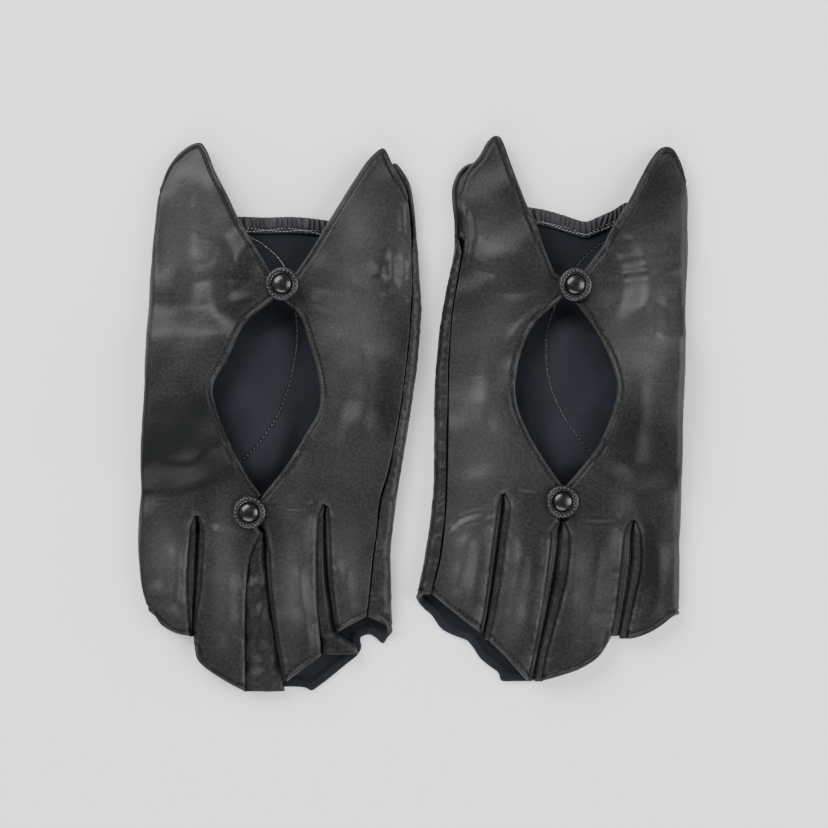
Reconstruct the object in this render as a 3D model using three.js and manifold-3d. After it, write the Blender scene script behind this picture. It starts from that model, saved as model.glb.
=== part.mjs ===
// A pair of fingerless leather driving gloves, lying flat side by side, backs up.
// Millimetres, +Z up, fingers toward -Y, cuffs toward +Y.
//
// Each glove is drafted in its own pattern frame: u runs across the hand from the index side
// (negative) to the little-finger side (positive), and v runs along it from the fingers
// (negative) to the cuff (positive). The two gloves share every sub-part function. Their
// patterns differ a little, because soft leather never lies down twice the same way.

import * as THREE from 'three';
import { mergeVertices } from 'three/addons/utils/BufferGeometryUtils.js';
import Module from 'manifold-3d';

const wasm = await Module();
wasm.setup();

// ---------------------------------------------------------------- driving dimensions

const PALM_WIDTH = 92; // across the palm, lying flat
const GLOVE_LENGTH = 188; // from the cuff points to the longest finger end
const PAIR_GAP = 6.3; // between the two gloves where they come closest

const LEATHER = 1.0; // one layer of glove leather
const SEAM_GAP = 0.3; // between neighbouring pieces at a seam
const SIDE_SEAM_GAP = 0.5; // between the back and the folded-over edge of the palm
const SIDE_HEIGHT = 6.8; // height of the glove at its side folds
const CROWN = 3.0; // how much higher the middle of the hand stands than the side folds
const FOLD_RADIUS = 3.0; // how round the side folds are, seen from above
const INDEX_SEAM = 4.5; // from the index-side fold in to the edge of the back
const LITTLE_SEAM_WRIST = 4.2; // from the little-side fold in to the side seam, at the wrist
const LITTLE_SEAM_FINGER = 6.0; // the same at the finger end
const LITTLE_SEAM_TAPER = 100; // on the block: length of hand over which it changes

const THUMB_HEIGHT = 4.2; // the flattened thumb tucked under the palm
const THUMB_ROOT_WIDTH = 30;
const THUMB_TIP_WIDTH = 25;
const THUMB_LENGTH = 32;
const THUMB_LEAN = -5; // how far toward the fingers the thumb's end lies
const THUMB_CLEARANCE = 0.4; // between the thumb and the palm lying on it
const LIFT_MARGIN = 4.5; // level leather past the thumb before the palm comes down
const LIFT_FALL = 12; // distance over which the palm comes down to the table
const PALM_TOP = 57; // on the block: where the side folds end, just under the flaps' fold lines
const PALM_FINGERS = -98; // on the block: past the longest finger end
const CUFF_DIP = 3; // how much lower the cuff edge lies at the sides than in the middle

const ELASTIC_WIDTH = 5.8; // of the shirred band at the wrist
const ELASTIC_THICKNESS = 1.2;
const ELASTIC_LENGTH = 50;
const ELASTIC_INSET = 1.6; // from the cuff edge

const FOURCHETTE_LEATHER = 0.8; // the strips between the fingers are skived thinner
const CROTCH_WIDTH = 1.2; // open width of a finger slit at its top

const CAP_RADIUS = 5.7; // the snap and rivet caps
const CAP_HEIGHT = 1.7;
const DOME_RADIUS = 3.5; // the raised centre of a cap
const DOME_HEIGHT = 1.5;
const DOME_BASE = 0.8; // straight part under the rounded one
const BEVEL = 0.3; // of turned edges; the coarser ones are twice it
const SHANK_RADIUS = 1.2; // the tubular rivet that goes through the leather
const STUD_RADIUS = 2.7; // the head that snaps into the socket
const STUD_HEIGHT = 1.7;
const SOCKET_RADIUS = 4.9;
const SOCKET_HEIGHT = 2.1;
const SPRING_WIRE = 0.3; // radius of the wire ring inside the socket
const FLANGE_RADIUS = 4.2; // of the stud and of the washers behind the leather
const FLANGE = 0.5; // sheet metal thickness
const PLAY = 0.4; // running clearance around the stud
const SOCKET_LIP = 0.35; // below the wire ring's groove
const SOCKET_CROWN = 0.4; // closed top of the socket
const TAB_RADIUS = 5.4; // rounded end of each wrist flap, under the cap
const LEVEL_RADIUS = 16; // the leather lies level this far round a snap or rivet
const LEVEL_FALL = 10; // distance over which it takes up the glove's own form again

const CELL_U = 7; // largest cell of a modelled leather surface, across the hand
const CELL_V = 9; // the same, along the hand
const ROUND_STEPS = 12; // segments of a turned metal part
const FOLD_STEPS = 4; // across a side fold
const PALM_STEPS = 8; // across the flat of the palm
const FAR = 200; // beyond everything, for cutting shapes
const MITRE_LIMIT = 0.3;

// The pattern block that the outlines below are drafted on, graded to the size above.
const BLOCK_WIDTH = 92;
const BLOCK_LENGTH = 188;

// ---------------------------------------------------------------- the two patterns

// Edges are [v, u] pairs read by height. Outlines are [u, v] points. Every outline that has
// an index and a little side runs from the middle of the hand outward, or from top to bottom.
const LEFT = {
  name: 'left',
  side: 1,
  indexEdge: [[94, -36], [85, -38.6], [75, -41.6], [56, -43.4], [28, -44.8], [1, -46.1], [-26, -47.3],
    [-45, -48.2], [-98, -48.2]],
  littleEdge: [[94, 38], [85, 41.5], [75, 45.6], [56, 47.7], [35, 49.1], [15, 47.4], [-6, 44.3],
    [-26, 40.9], [-46, 38.3], [-98, 39.4]],
  cuff: 67.5,
  snap: [1.8, 43.7],
  rivet: [-9.6, -33.6],
  indexEar: [[-4.4, 49.4], [-13.3, 66.8], [-19, 76.7], [-24.4, 90.3], [-27, 93.4], [-30, 93.2], [-36.6, 87.6],
    [-40.7, 79.4], [-42.2, 70], [-43, 59.2]],
  littleEar: [[7, 49.4], [17, 67.4], [26.6, 82.1], [33.8, 90.3], [36, 91.2], [38.4, 89], [43.2, 81],
    [45.6, 74], [47, 59.2]],
  indexWindow: [[-0.6, 38.6], [-10.6, 29.9], [-16, 19.2], [-21.4, 9], [-20, 1.2], [-16, -8.8], [-10.6, -20.2]],
  littleWindow: [[1.2, 38.8], [6.9, 33.6], [10.2, 24.7], [13.8, 10.4], [13.6, 1.2], [9.6, -6.2], [4.2, -15.5]],
  windowFoot: [-5.3, -27.7],
  indexHinge: [[-21.4, 8], [-43.4, 58.4]],
  littleHinge: [[14, 6], [47.6, 58.4]],
  slits: {
    index_middle: { crotch: [-27.8, -34.5], ends: [[-30.4, -76.2], [-27.2, -81]] },
    middle_ring: { crotch: [-6.6, -40.5], ends: [[-11, -95.4], [0.1, -92.8]] },
    ring_little: { crotch: [15.6, -30.4], ends: [[14.6, -82.4], [19.8, -75.6]] },
  },
  indexHalfEnds: [[-46.9, -55.9], [-44.9, -64.1], [-40.2, -70], [-33.5, -74.6], [-30.2, -76.2], [-28.1, -83.5],
    [-20, -89.6], [-11.3, -95.9]],
  littleHalfEnds: [[1.2, -91.2], [13.9, -82.8], [20, -75.3], [31, -69]],
  palmEnds: [[-60, -50], [-46.9, -55.9], [-44.9, -64.1], [-40.2, -70], [-33.5, -74.6], [-30.2, -76.2],
    [-28.1, -83.5], [-20, -89.6], [-11.3, -95.9], [0.1, -94.4], [11, -95.6], [27.6, -82.1], [28, -77.4],
    [35.1, -78.7], [40, -74], [60, -70]],
  indexSideHeights: [57, 28, 1, -26, -45],
  littleSideHeights: [57, 35, 15, -6, -26, -46],
  thumbBaseHeights: [-20, 1, 28, 52],
  thumbSeam: [[-5.3, 60.1], [2.1, 50.2], [6.2, 29.9], [5.5, 19.2], [0.1, 0.3], [-11.9, -15.5], [-28, -23]],
};

const RIGHT = {
  name: 'right',
  side: -1,
  indexEdge: [[94, -41], [85, -42.8], [75, -43.7], [42, -43.3], [22, -42.3], [1, -41.6], [-39, -41],
    [-56, -40.7], [-98, -40.2]],
  littleEdge: [[94, 27], [85, 33.4], [76, 37.2], [56, 36.2], [42, 39.3], [28, 41.7], [8, 43.3], [-26, 43.5],
    [-40, 45.1], [-52, 47.1], [-63, 49.5], [-98, 49.5]],
  cuff: 69,
  snap: [-4.2, 43.4],
  rivet: [-0.2, -29.9],
  indexEar: [[-9.7, 51], [-16.5, 57.6], [-22.3, 71.9], [-29.4, 84.8], [-33.5, 90.3], [-36.6, 91.8],
    [-40.4, 89.8], [-42.8, 84.2], [-43.4, 74], [-43.4, 59.2]],
  littleEar: [[1.9, 51], [7.3, 60.7], [12.4, 74], [17.5, 87.6], [19.8, 93.6], [22.4, 95.4], [25.4, 93.4],
    [29.4, 87.6], [34.9, 82.1], [36.9, 76], [35.6, 59.2]],
  indexWindow: [[-3.4, 38.4], [-12.2, 25.7], [-18.1, 10.2], [-16.8, 1.3], [-10.9, -12.3]],
  littleWindow: [[-0.6, 38.8], [9.4, 29.8], [14.5, 16.7], [15.1, 4.6], [10, -8.3]],
  windowFoot: [-0.8, -25],
  indexHinge: [[-17.8, 9], [-43.6, 58.4]],
  littleHinge: [[14.8, 8], [36, 58.4]],
  slits: {
    index_middle: { crotch: [-24, -36.7], ends: [[-19, -77], [-14.8, -81.6]] },
    middle_ring: { crotch: [0.2, -37], ends: [[6.6, -91], [11.6, -89]] },
    ring_little: { crotch: [20, -27.9], ends: [[26, -75.6], [28.9, -74.2]] },
  },
  indexHalfEnds: [[-39.8, -60], [-38.9, -68.2], [-33, -72.8], [-22.6, -77], [-17.4, -76.9], [-13.4, -83.8],
    [6.6, -91.6]],
  littleHalfEnds: [[11.8, -89.7], [26.2, -76], [28.7, -74.8], [44.4, -61.4]],
  palmEnds: [[-60, -50], [-41.4, -60], [-38.9, -68.2], [-33, -72.8], [-22.6, -77], [-17.4, -76.9],
    [-13.4, -83.8], [6.6, -91.6], [10, -92.7], [20.2, -91.6], [30.1, -79.2], [40.5, -74.1], [49.2, -63.8],
    [60, -58]],
  indexSideHeights: [57, 28, 1, -26, -45],
  littleSideHeights: [57, 35, 15, -6, -26, -46],
  thumbBaseHeights: [-20, 1, 28, 52],
  thumbSeam: [[-13.4, 58.4], [-5.1, 49.8], [4, 30], [4.4, 14], [-1, -1], [-12.4, -15], [-27, -22]],
};

const THUMB_ROOT = [-39.6, 6]; // middle of the thumb's root, where it folds under

const gradeU = (u) => (u * PALM_WIDTH) / BLOCK_WIDTH;
const gradeV = (v) => (v * GLOVE_LENGTH) / BLOCK_LENGTH;
const grade = (points) => points.map(([u, v]) => [gradeU(u), gradeV(v)]);

// ---------------------------------------------------------------- solids

// A closed geometry as a solid for joining and cutting, with its faces turned outward.
function solid(geometry) {
  const bare = geometry.clone();
  bare.deleteAttribute('normal');
  bare.deleteAttribute('uv');
  const merged = mergeVertices(bare, 1e-4);
  const triVerts = new Uint32Array(merged.index.array);
  const vertProperties = new Float32Array(merged.attributes.position.array);
  if (signedVolume(vertProperties, triVerts) < 0) flip(triVerts);
  return new wasm.Manifold(new wasm.Mesh({ numProp: 3, vertProperties, triVerts }));
}

function signedVolume(positions, triangles) {
  const [a, b, c] = [new THREE.Vector3(), new THREE.Vector3(), new THREE.Vector3()];
  let volume = 0;
  for (let t = 0; t < triangles.length; t += 3) {
    a.fromArray(positions, triangles[t] * 3);
    b.fromArray(positions, triangles[t + 1] * 3);
    c.fromArray(positions, triangles[t + 2] * 3);
    volume += a.dot(b.cross(c)) / 6;
  }
  return volume;
}

function flip(triangles) {
  for (let t = 0; t < triangles.length; t += 3) {
    [triangles[t + 1], triangles[t + 2]] = [triangles[t + 2], triangles[t + 1]];
  }
}

// An upright prism over a plan outline.
function prism(points, bottom = -FAR, top = FAR) {
  const shape = new THREE.Shape(points.map(([x, y]) => new THREE.Vector2(x, y)));
  const geometry = new THREE.ExtrudeGeometry(shape, { depth: top - bottom, bevelEnabled: false });
  return solid(geometry.translate(0, 0, bottom));
}

// A clockwise outline with every side moved in by the same distance.
function shrunk(points, distance) {
  return points.map((point, i) => {
    const here = new THREE.Vector2(...point);
    const before = new THREE.Vector2(...points.at(i - 1));
    const after = new THREE.Vector2(...points[(i + 1) % points.length]);
    const into = here.clone().sub(before).normalize();
    const away = after.sub(here).normalize();
    const normal = new THREE.Vector2(into.y + away.y, -into.x - away.x).normalize();
    const along = distance / Math.max(normal.dot(new THREE.Vector2(into.y, -into.x)), MITRE_LIMIT);
    return [here.x + normal.x * along, here.y + normal.y * along];
  });
}

// A box split into cells, with every corner moved by place(across, along, upper).
function moulded(cellsAcross, cellsAlong, place) {
  const geometry = new THREE.BoxGeometry(1, 1, 1, cellsAcross, cellsAlong, 1);
  const at = geometry.attributes.position;
  for (let i = 0; i < at.count; i += 1) {
    const [x, y, z] = place(at.getX(i) + 1 / 2, at.getY(i) + 1 / 2, at.getZ(i) > 0);
    at.setXYZ(i, x, y, z);
  }
  return solid(geometry);
}

// A leather layer over a plan outline, between two height functions of (u, v).
function layer(outline, low, high) {
  const us = outline.map((p) => p[0]);
  const vs = outline.map((p) => p[1]);
  const [u0, u1] = [Math.min(...us) - 1, Math.max(...us) + 1];
  const [v0, v1] = [Math.min(...vs) - 1, Math.max(...vs) + 1];
  const blank = moulded(Math.ceil((u1 - u0) / CELL_U), Math.ceil((v1 - v0) / CELL_V), (s, t, upper) => {
    const [u, v] = [u0 + s * (u1 - u0), v0 + t * (v1 - v0)];
    return [u, v, (upper ? high : low)(u, v)];
  });
  return blank.intersect(prism(outline));
}

// A turned metal part: profile points are [radius, height] round a closed loop.
function turned(profile, [u, v], base) {
  const points = profile.map(([r, h]) => new THREE.Vector2(r, h));
  points.push(points[0].clone());
  const geometry = new THREE.LatheGeometry(points, ROUND_STEPS);
  return solid(geometry.rotateX(Math.PI / 2).translate(u, v, base));
}

// ---------------------------------------------------------------- the glove's form

const clamp = (x) => Math.min(Math.max(x, 0), 1);
const ease = (x) => clamp(x) ** 2 * (3 - 2 * clamp(x));
const mix = (a, b, t) => a + (b - a) * t;

// 1 where the leather is held level by a snap or rivet this far away, falling to 0.
const nearness = (du, dv) => ease(1 - (Math.hypot(du, dv) - LEVEL_RADIUS) / LEVEL_FALL);

// Reads an edge, given as [v, u] pairs from the cuff down, at one height.
function edgeAt(edge, v) {
  const at = v / gradeV(1);
  const next = Math.max(edge.findIndex(([knot]) => knot <= at), 1);
  const [[va, ua], [vb, ub]] = [edge[next - 1], edge[next]];
  return gradeU(mix(ua, ub, clamp((at - va) / (vb - va))));
}

// The thumb's plan sizes, graded with the glove.
function thumbSizes() {
  const [rootU, rootV] = grade([THUMB_ROOT])[0];
  const [length, lean] = [gradeU(THUMB_LENGTH), gradeV(THUMB_LEAN)];
  return { rootU, rootV, length, lean, rootHalf: gradeV(THUMB_ROOT_WIDTH) / 2, tipHalf: gradeV(THUMB_TIP_WIDTH) / 2 };
}

// Height functions of one glove: the palm's underside, the back's upper side, the sides.
function formOf(hand) {
  const { rootU, rootV, length, lean, rootHalf, tipHalf } = thumbSizes();
  const farU = rootU + length + LIFT_MARGIN;
  const lowV = rootV + lean - tipHalf - LIFT_MARGIN;
  const highV = rootV + rootHalf + LIFT_MARGIN;
  const lift = THUMB_HEIGHT + THUMB_CLEARANCE;
  const index = (v) => edgeAt(hand.indexEdge, v);
  const little = (v) => edgeAt(hand.littleEdge, v);
  const under = (u, v) => {
    const across = ease((farU + LIFT_FALL - u) / LIFT_FALL);
    const along = ease((v - lowV + LIFT_FALL) / LIFT_FALL) * ease((highV + LIFT_FALL - v) / LIFT_FALL);
    return lift * across * along;
  };
  const crowned = (u, v) => {
    const middle = (index(v) + little(v)) / 2;
    const share = clamp(Math.abs(u - middle) / ((little(v) - index(v)) / 2));
    return under(u, v) + SIDE_HEIGHT + CROWN * (1 - share ** 2);
  };
  const over = (u, v) => {
    let height = crowned(u, v);
    for (const [pu, pv] of grade([hand.snap, hand.rivet])) {
      height = mix(height, crowned(pu, pv), nearness(u - pu, v - pv));
    }
    return height;
  };
  const inside = (u, v) => over(u, v) - LEATHER;
  const floor = (u, v) => under(u, v) + LEATHER;
  const littleSeam = (v) => mix(LITTLE_SEAM_FINGER, LITTLE_SEAM_WRIST, clamp(v / gradeV(LITTLE_SEAM_TAPER) + 1 / 2));
  return { index, little, under, over, inside, floor, littleSeam };
}

// ---------------------------------------------------------------- leather pieces

// The palm: the flat under side and both side folds, up to where the back is sewn on.
function palm(hand, form) {
  const hingeEnd = gradeV(PALM_TOP);
  const cuff = gradeV(hand.cuff);
  const fingers = gradeV(PALM_FINGERS);
  const fold = (edge, sign, angle, v, inset) => {
    const centre = edge + sign * FOLD_RADIUS;
    const [low, high] = [form.under(centre, v), form.over(centre, v)];
    const reach = (FOLD_RADIUS - inset) * Math.cos(angle);
    return [centre - sign * reach, (low + high) / 2 + ((high - low) / 2 - inset) * Math.sin(angle)];
  };
  const stations = [];
  stations.push({ end: hingeEnd, at: (v, w) => {
    const u = form.index(v) + INDEX_SEAM;
    return [u, form.over(u, v) - w];
  } });
  const foldEnd = (down) => mix(hingeEnd, cuff - CUFF_DIP, clamp(2 * down - 1)); // stays clear under the ears
  for (let i = 0; i <= FOLD_STEPS; i += 1) {
    const angle = Math.PI * (1 / 2 - i / FOLD_STEPS);
    stations.push({ end: foldEnd(i / FOLD_STEPS), at: (v, w) => fold(form.index(v), 1, angle, v, w) });
  }
  for (let i = 1; i < PALM_STEPS; i += 1) {
    const end = cuff - CUFF_DIP * Math.abs((2 * i) / PALM_STEPS - 1);
    stations.push({ end, at: (v, w) => {
      const u = mix(form.index(v) + FOLD_RADIUS, form.little(v) - FOLD_RADIUS, i / PALM_STEPS);
      return [u, form.under(u, v) + w];
    } });
  }
  for (let i = 0; i <= FOLD_STEPS; i += 1) {
    const angle = Math.PI * (i / FOLD_STEPS - 1 / 2);
    stations.push({ end: foldEnd(1 - i / FOLD_STEPS), at: (v, w) => fold(form.little(v), -1, angle, v, w) });
  }
  stations.push({ end: hingeEnd, at: (v, w) => {
    const u = form.little(v) - form.littleSeam(v);
    return [u, form.over(u, v) - w];
  } });
  const along = Math.ceil((cuff - fingers) / (CELL_V + 1));
  const sheet = moulded(stations.length - 1, along, (s, t, inner) => {
    const station = stations[Math.round(s * (stations.length - 1))];
    const v = mix(fingers, station.end, t);
    const [u, z] = station.at(v, inner ? LEATHER : 0);
    return [u, v, z];
  });
  const ends = [...grade(hand.palmEnds), [FAR, FAR], [-FAR, FAR]];
  let piece = sheet.intersect(prism(ends)).subtract(prism(thumbBaseOutline(hand, form)));
  for (const slit of Object.values(hand.slits)) piece = piece.subtract(prism(slitOutline(slit)));
  return piece;
}

// The thumb base fills the palm between the curved thumb seam and the index-side fold.
function thumbBaseOutline(hand, form) {
  const side = hand.thumbBaseHeights.map(gradeV).map((v) => [form.index(v) + INDEX_SEAM + SEAM_GAP, v]);
  return [...grade(hand.thumbSeam), ...side];
}

function thumbBase(hand, form) {
  return layer(shrunk(thumbBaseOutline(hand, form), SEAM_GAP), form.under, form.floor);
}

// The thumb: a short open tube, folded in under the palm with its root along the fold.
function thumb(hand) {
  const { rootU, rootV, length, lean, rootHalf, tipHalf } = thumbSizes();
  const radius = THUMB_HEIGHT / 2;
  const roundSteps = 6;
  const stadium = (inset) => {
    const path = new THREE.Path();
    path.absarc(rootHalf - radius, 0, radius - inset, -Math.PI / 2, Math.PI / 2, false);
    path.absarc(-rootHalf + radius, 0, radius - inset, Math.PI / 2, (3 * Math.PI) / 2, false);
    return path;
  };
  const shape = new THREE.Shape(stadium(0).getPoints(roundSteps));
  shape.holes.push(new THREE.Path(stadium(LEATHER).getPoints(roundSteps)));
  const geometry = new THREE.ExtrudeGeometry(shape, { depth: 1, steps: 3, bevelEnabled: false });
  const at = geometry.attributes.position;
  for (let i = 0; i < at.count; i += 1) {
    const [across, height, out] = [at.getX(i), at.getY(i), at.getZ(i)];
    const narrow = Math.sign(across) * (rootHalf - tipHalf) * out;
    at.setXYZ(i, rootU + out * length, rootV + across - narrow + out * lean, height + radius);
  }
  return solid(geometry);
}

// The rounded tab at the end of a wrist flap, as points round the snap.
function tab(hand, from, to) {
  const [u, v] = [gradeU(hand.snap[0]), gradeV(hand.snap[1])];
  const steps = 7;
  const points = [];
  for (let i = 0; i <= steps; i += 1) {
    const angle = THREE.MathUtils.degToRad(mix(from, to, i / steps));
    points.push([u + TAB_RADIUS * Math.cos(angle), v + TAB_RADIUS * Math.sin(angle)]);
  }
  return points;
}

// One half of the back, from its finger ends to its ear, with its wrist tab.
function indexHalfOutline(hand, form) {
  const sideU = (v) => form.index(v) + INDEX_SEAM + SIDE_SEAM_GAP;
  const side = hand.indexSideHeights.map(gradeV).map((v) => [sideU(v), v]);
  const ends = grade(hand.indexHalfEnds).map(([u, v]) => [Math.max(u, sideU(v)), v]);
  const [cu, cv] = grade([hand.slits.middle_ring.crotch])[0];
  const [ru, rv] = grade([hand.rivet])[0];
  const [fu, fv] = grade([hand.windowFoot])[0];
  const middle = [[cu - CROTCH_WIDTH / 2, cv], [ru - SEAM_GAP / 2, rv], [fu - SEAM_GAP / 2, fv]];
  const windowEdge = grade(hand.indexWindow).reverse();
  return [...side, ...ends, ...middle, ...windowEdge, ...tab(hand, -110, 140), ...grade(hand.indexEar)];
}

function littleHalfOutline(hand, form) {
  const sideU = (v) => form.little(v) - form.littleSeam(v) - SIDE_SEAM_GAP;
  const side = hand.littleSideHeights.map(gradeV).map((v) => [sideU(v), v]);
  const ends = grade(hand.littleHalfEnds).map(([u, v]) => [Math.min(u, sideU(v)), v]).reverse();
  const [cu, cv] = grade([hand.slits.middle_ring.crotch])[0];
  const [ru, rv] = grade([hand.rivet])[0];
  const [fu, fv] = grade([hand.windowFoot])[0];
  const middle = [[cu + CROTCH_WIDTH / 2, cv], [ru + SEAM_GAP / 2, rv], [fu + SEAM_GAP / 2, fv]];
  const windowEdge = grade(hand.littleWindow).reverse();
  return [...side, ...ends, ...middle, ...windowEdge, ...tab(hand, -70, -320), ...grade(hand.littleEar)];
}

// Everything on the flap side of a fold line, as a wide outline, moved out by shift.
function beyond([[ua, va], [ub, vb]], outward, shift) {
  const start = -2; // just inside the window's edge
  const along = new THREE.Vector2(ub - ua, vb - va).normalize();
  const out = new THREE.Vector2(-along.y, along.x).multiplyScalar(outward);
  const corner = (a, o) => [ua + along.x * a + out.x * (o + shift), va + along.y * a + out.y * (o + shift)];
  return [corner(start, 0), corner(FAR, 0), corner(FAR, FAR), corner(start, FAR)];
}

function hole(at, radius) {
  return turned([[0, -FAR], [radius, -FAR], [radius, FAR], [0, FAR]], at, 0);
}

function backHalf(hand, form, outline, hinge, outward) {
  const flapSide = prism(beyond(grade(hinge), outward, -SEAM_GAP / 2));
  let piece = layer(outline, form.inside, form.over).subtract(flapSide);
  for (const slit of Object.values(hand.slits)) piece = piece.subtract(prism(slitOutline(slit)));
  return piece.subtract(hole(grade([hand.rivet])[0], SHANK_RADIUS + SEAM_GAP));
}

function wristFlap(hand, form, outline, hinge, inward, rise) {
  const [su, sv] = grade([hand.snap])[0];
  const raised = (u, v) => rise * nearness(u - su, v - sv);
  const low = (u, v) => form.inside(u, v) + raised(u, v);
  const high = (u, v) => form.over(u, v) + raised(u, v);
  const keep = prism(beyond(grade(hinge), inward, SEAM_GAP / 2));
  return layer(outline, low, high).intersect(keep).subtract(hole([su, sv], SHANK_RADIUS + SEAM_GAP));
}

// A finger slit in plan: from its crotch, opening toward the two finger corners.
function slitOutline({ crotch, ends }) {
  const [[cu, cv], [au, av], [bu, bv]] = grade([crotch, ...ends]);
  const half = CROTCH_WIDTH / 2;
  const past = 6; // clear of the finger ends
  return [[cu - half, cv], [au, av], [au, av - past], [bu, bv - past], [bu, bv], [cu + half, cv]];
}

// A fourchette: the strip that lines a slit, down one finger side and up the next.
function fourchette(hand, form, slit) {
  const [[cu, cv], [au, av], [bu, bv]] = grade([slit.crotch, ...slit.ends]);
  const wall = FOURCHETTE_LEATHER;
  const top = CROTCH_WIDTH / 2 + wall;
  const outline = [[cu - top, cv + wall], [au - wall, av], [bu + wall, bv], [cu + top, cv + wall]];
  const low = (u, v) => form.floor(u, v) + SEAM_GAP;
  const high = (u, v) => form.inside(u, v) - SEAM_GAP;
  return layer(outline, low, high).subtract(prism(slitOutline(slit)));
}

// The shirred elastic sewn inside the palm's cuff edge.
function elastic(hand, form) {
  const top = gradeV(hand.cuff - ELASTIC_INSET);
  const middle = (form.index(top) + form.little(top)) / 2;
  const half = gradeU(ELASTIC_LENGTH) / 2;
  const bottom = top - gradeV(ELASTIC_WIDTH);
  const outline = [[middle - half, bottom], [middle + half, bottom], [middle + half, top], [middle - half, top]];
  const low = (u, v) => form.floor(u, v) + SEAM_GAP;
  const high = (u, v) => form.floor(u, v) + SEAM_GAP + ELASTIC_THICKNESS;
  return layer(outline, low, high);
}

// ---------------------------------------------------------------- metal pieces

// A cap's rim, dished round the dome and open in the middle for the rivet's shank.
function capRing(at, base) {
  const bore = SHANK_RADIUS + SEAM_GAP;
  const seat = DOME_RADIUS + SEAM_GAP;
  return turned([[bore, 0], [CAP_RADIUS - 2 * BEVEL, 0], [CAP_RADIUS, 2 * BEVEL],
    [CAP_RADIUS - BEVEL, CAP_HEIGHT - BEVEL], [CAP_RADIUS - 3 * BEVEL, CAP_HEIGHT], [seat, CAP_HEIGHT - BEVEL],
    [seat, FLANGE], [bore, FLANGE]], at, base);
}

// The raised dome in the middle of a cap.
function capDome(at, base) {
  const steps = 4;
  const profile = [[0, 0], [DOME_RADIUS, 0]];
  for (let i = 0; i < steps; i += 1) {
    const angle = (i / steps) * (Math.PI / 2);
    profile.push([DOME_RADIUS * Math.cos(angle), DOME_BASE + DOME_HEIGHT * Math.sin(angle)]);
  }
  profile.push([0, DOME_BASE + DOME_HEIGHT]);
  return turned(profile, at, base);
}

// A washer with a shank standing on it, coming up through the leather.
function post(at, base, height) {
  return turned([[0, 0], [FLANGE_RADIUS, 0], [FLANGE_RADIUS, FLANGE], [SHANK_RADIUS, FLANGE],
    [SHANK_RADIUS, height], [0, height]], at, base);
}

function stud(at, base) {
  const bore = SHANK_RADIUS + SEAM_GAP;
  const neck = STUD_RADIUS - BEVEL;
  return turned([[bore, 0], [FLANGE_RADIUS, 0], [FLANGE_RADIUS, FLANGE], [neck, FLANGE],
    [STUD_RADIUS, STUD_HEIGHT - 2 * BEVEL], [neck, STUD_HEIGHT], [bore, STUD_HEIGHT]], at, base);
}

// The socket: a cup open downward round the stud, with a groove for the wire ring.
function socket(at, base) {
  const bore = SHANK_RADIUS + SEAM_GAP;
  const mouth = STUD_RADIUS + PLAY;
  const groove = mouth + 4.5 * SPRING_WIRE;
  const [low, high] = [SOCKET_LIP, SOCKET_LIP + 4 * SPRING_WIRE];
  const crown = SOCKET_HEIGHT - SOCKET_CROWN;
  return turned([[mouth, 0], [SOCKET_RADIUS, 0], [SOCKET_RADIUS, SOCKET_HEIGHT], [bore, SOCKET_HEIGHT],
    [bore, crown], [mouth, crown], [mouth, high], [groove, high], [groove, low],
    [mouth, low]], at, base);
}

// The wire ring that grips the stud, lying free in the socket's groove.
function springRing(at, base) {
  const radius = STUD_RADIUS + PLAY + 2 * SPRING_WIRE;
  const steps = 6;
  const wire = [];
  for (let i = 0; i < steps; i += 1) {
    const angle = (i / steps) * 2 * Math.PI;
    wire.push([radius + SPRING_WIRE * Math.cos(angle), SPRING_WIRE * Math.sin(angle)]);
  }
  return turned(wire, at, base + SOCKET_LIP + 2 * SPRING_WIRE);
}

// ---------------------------------------------------------------- assembly

const COLOURS = {
  leather: { color: 0x1b1a1a, roughness: 0.5, metalness: 0 },
  fourchette: { color: 0x151415, roughness: 0.55, metalness: 0 },
  elastic: { color: 0x22242a, roughness: 0.9, metalness: 0 },
  cap: { color: 0x1a1b1d, roughness: 0.35, metalness: 0.6 },
  dome: { color: 0x050506, roughness: 0.12, metalness: 0 },
  steel: { color: 0x6b6d70, roughness: 0.35, metalness: 1 },
};

// Turns a solid in the pattern frame into a named mesh, mirrored for the right hand.
function meshOf(piece, name, finish, hand, centre) {
  const { vertProperties, triVerts } = piece.getMesh();
  const positions = new Float32Array(vertProperties);
  const triangles = new Uint32Array(triVerts);
  for (let i = 0; i < positions.length; i += 3) positions[i] *= hand.side;
  if (hand.side < 0) flip(triangles);
  const geometry = new THREE.BufferGeometry();
  geometry.setAttribute('position', new THREE.BufferAttribute(positions, 3));
  geometry.setIndex(new THREE.BufferAttribute(triangles, 1));
  geometry.computeVertexNormals();
  const mesh = new THREE.Mesh(geometry, new THREE.MeshStandardMaterial(COLOURS[finish]));
  mesh.name = `${hand.name}_${name}`;
  mesh.position.x = centre;
  return mesh;
}

// Heights of the snap stack, measured up from the top of the inner wrist flap.
function snapStack() {
  const studBase = SEAM_GAP;
  const socketBase = studBase + FLANGE + PLAY;
  const outerFlap = socketBase + SOCKET_HEIGHT + SEAM_GAP;
  return { studBase, socketBase, outerFlap, rise: outerFlap + LEATHER, cap: outerFlap + LEATHER + SEAM_GAP };
}

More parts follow.
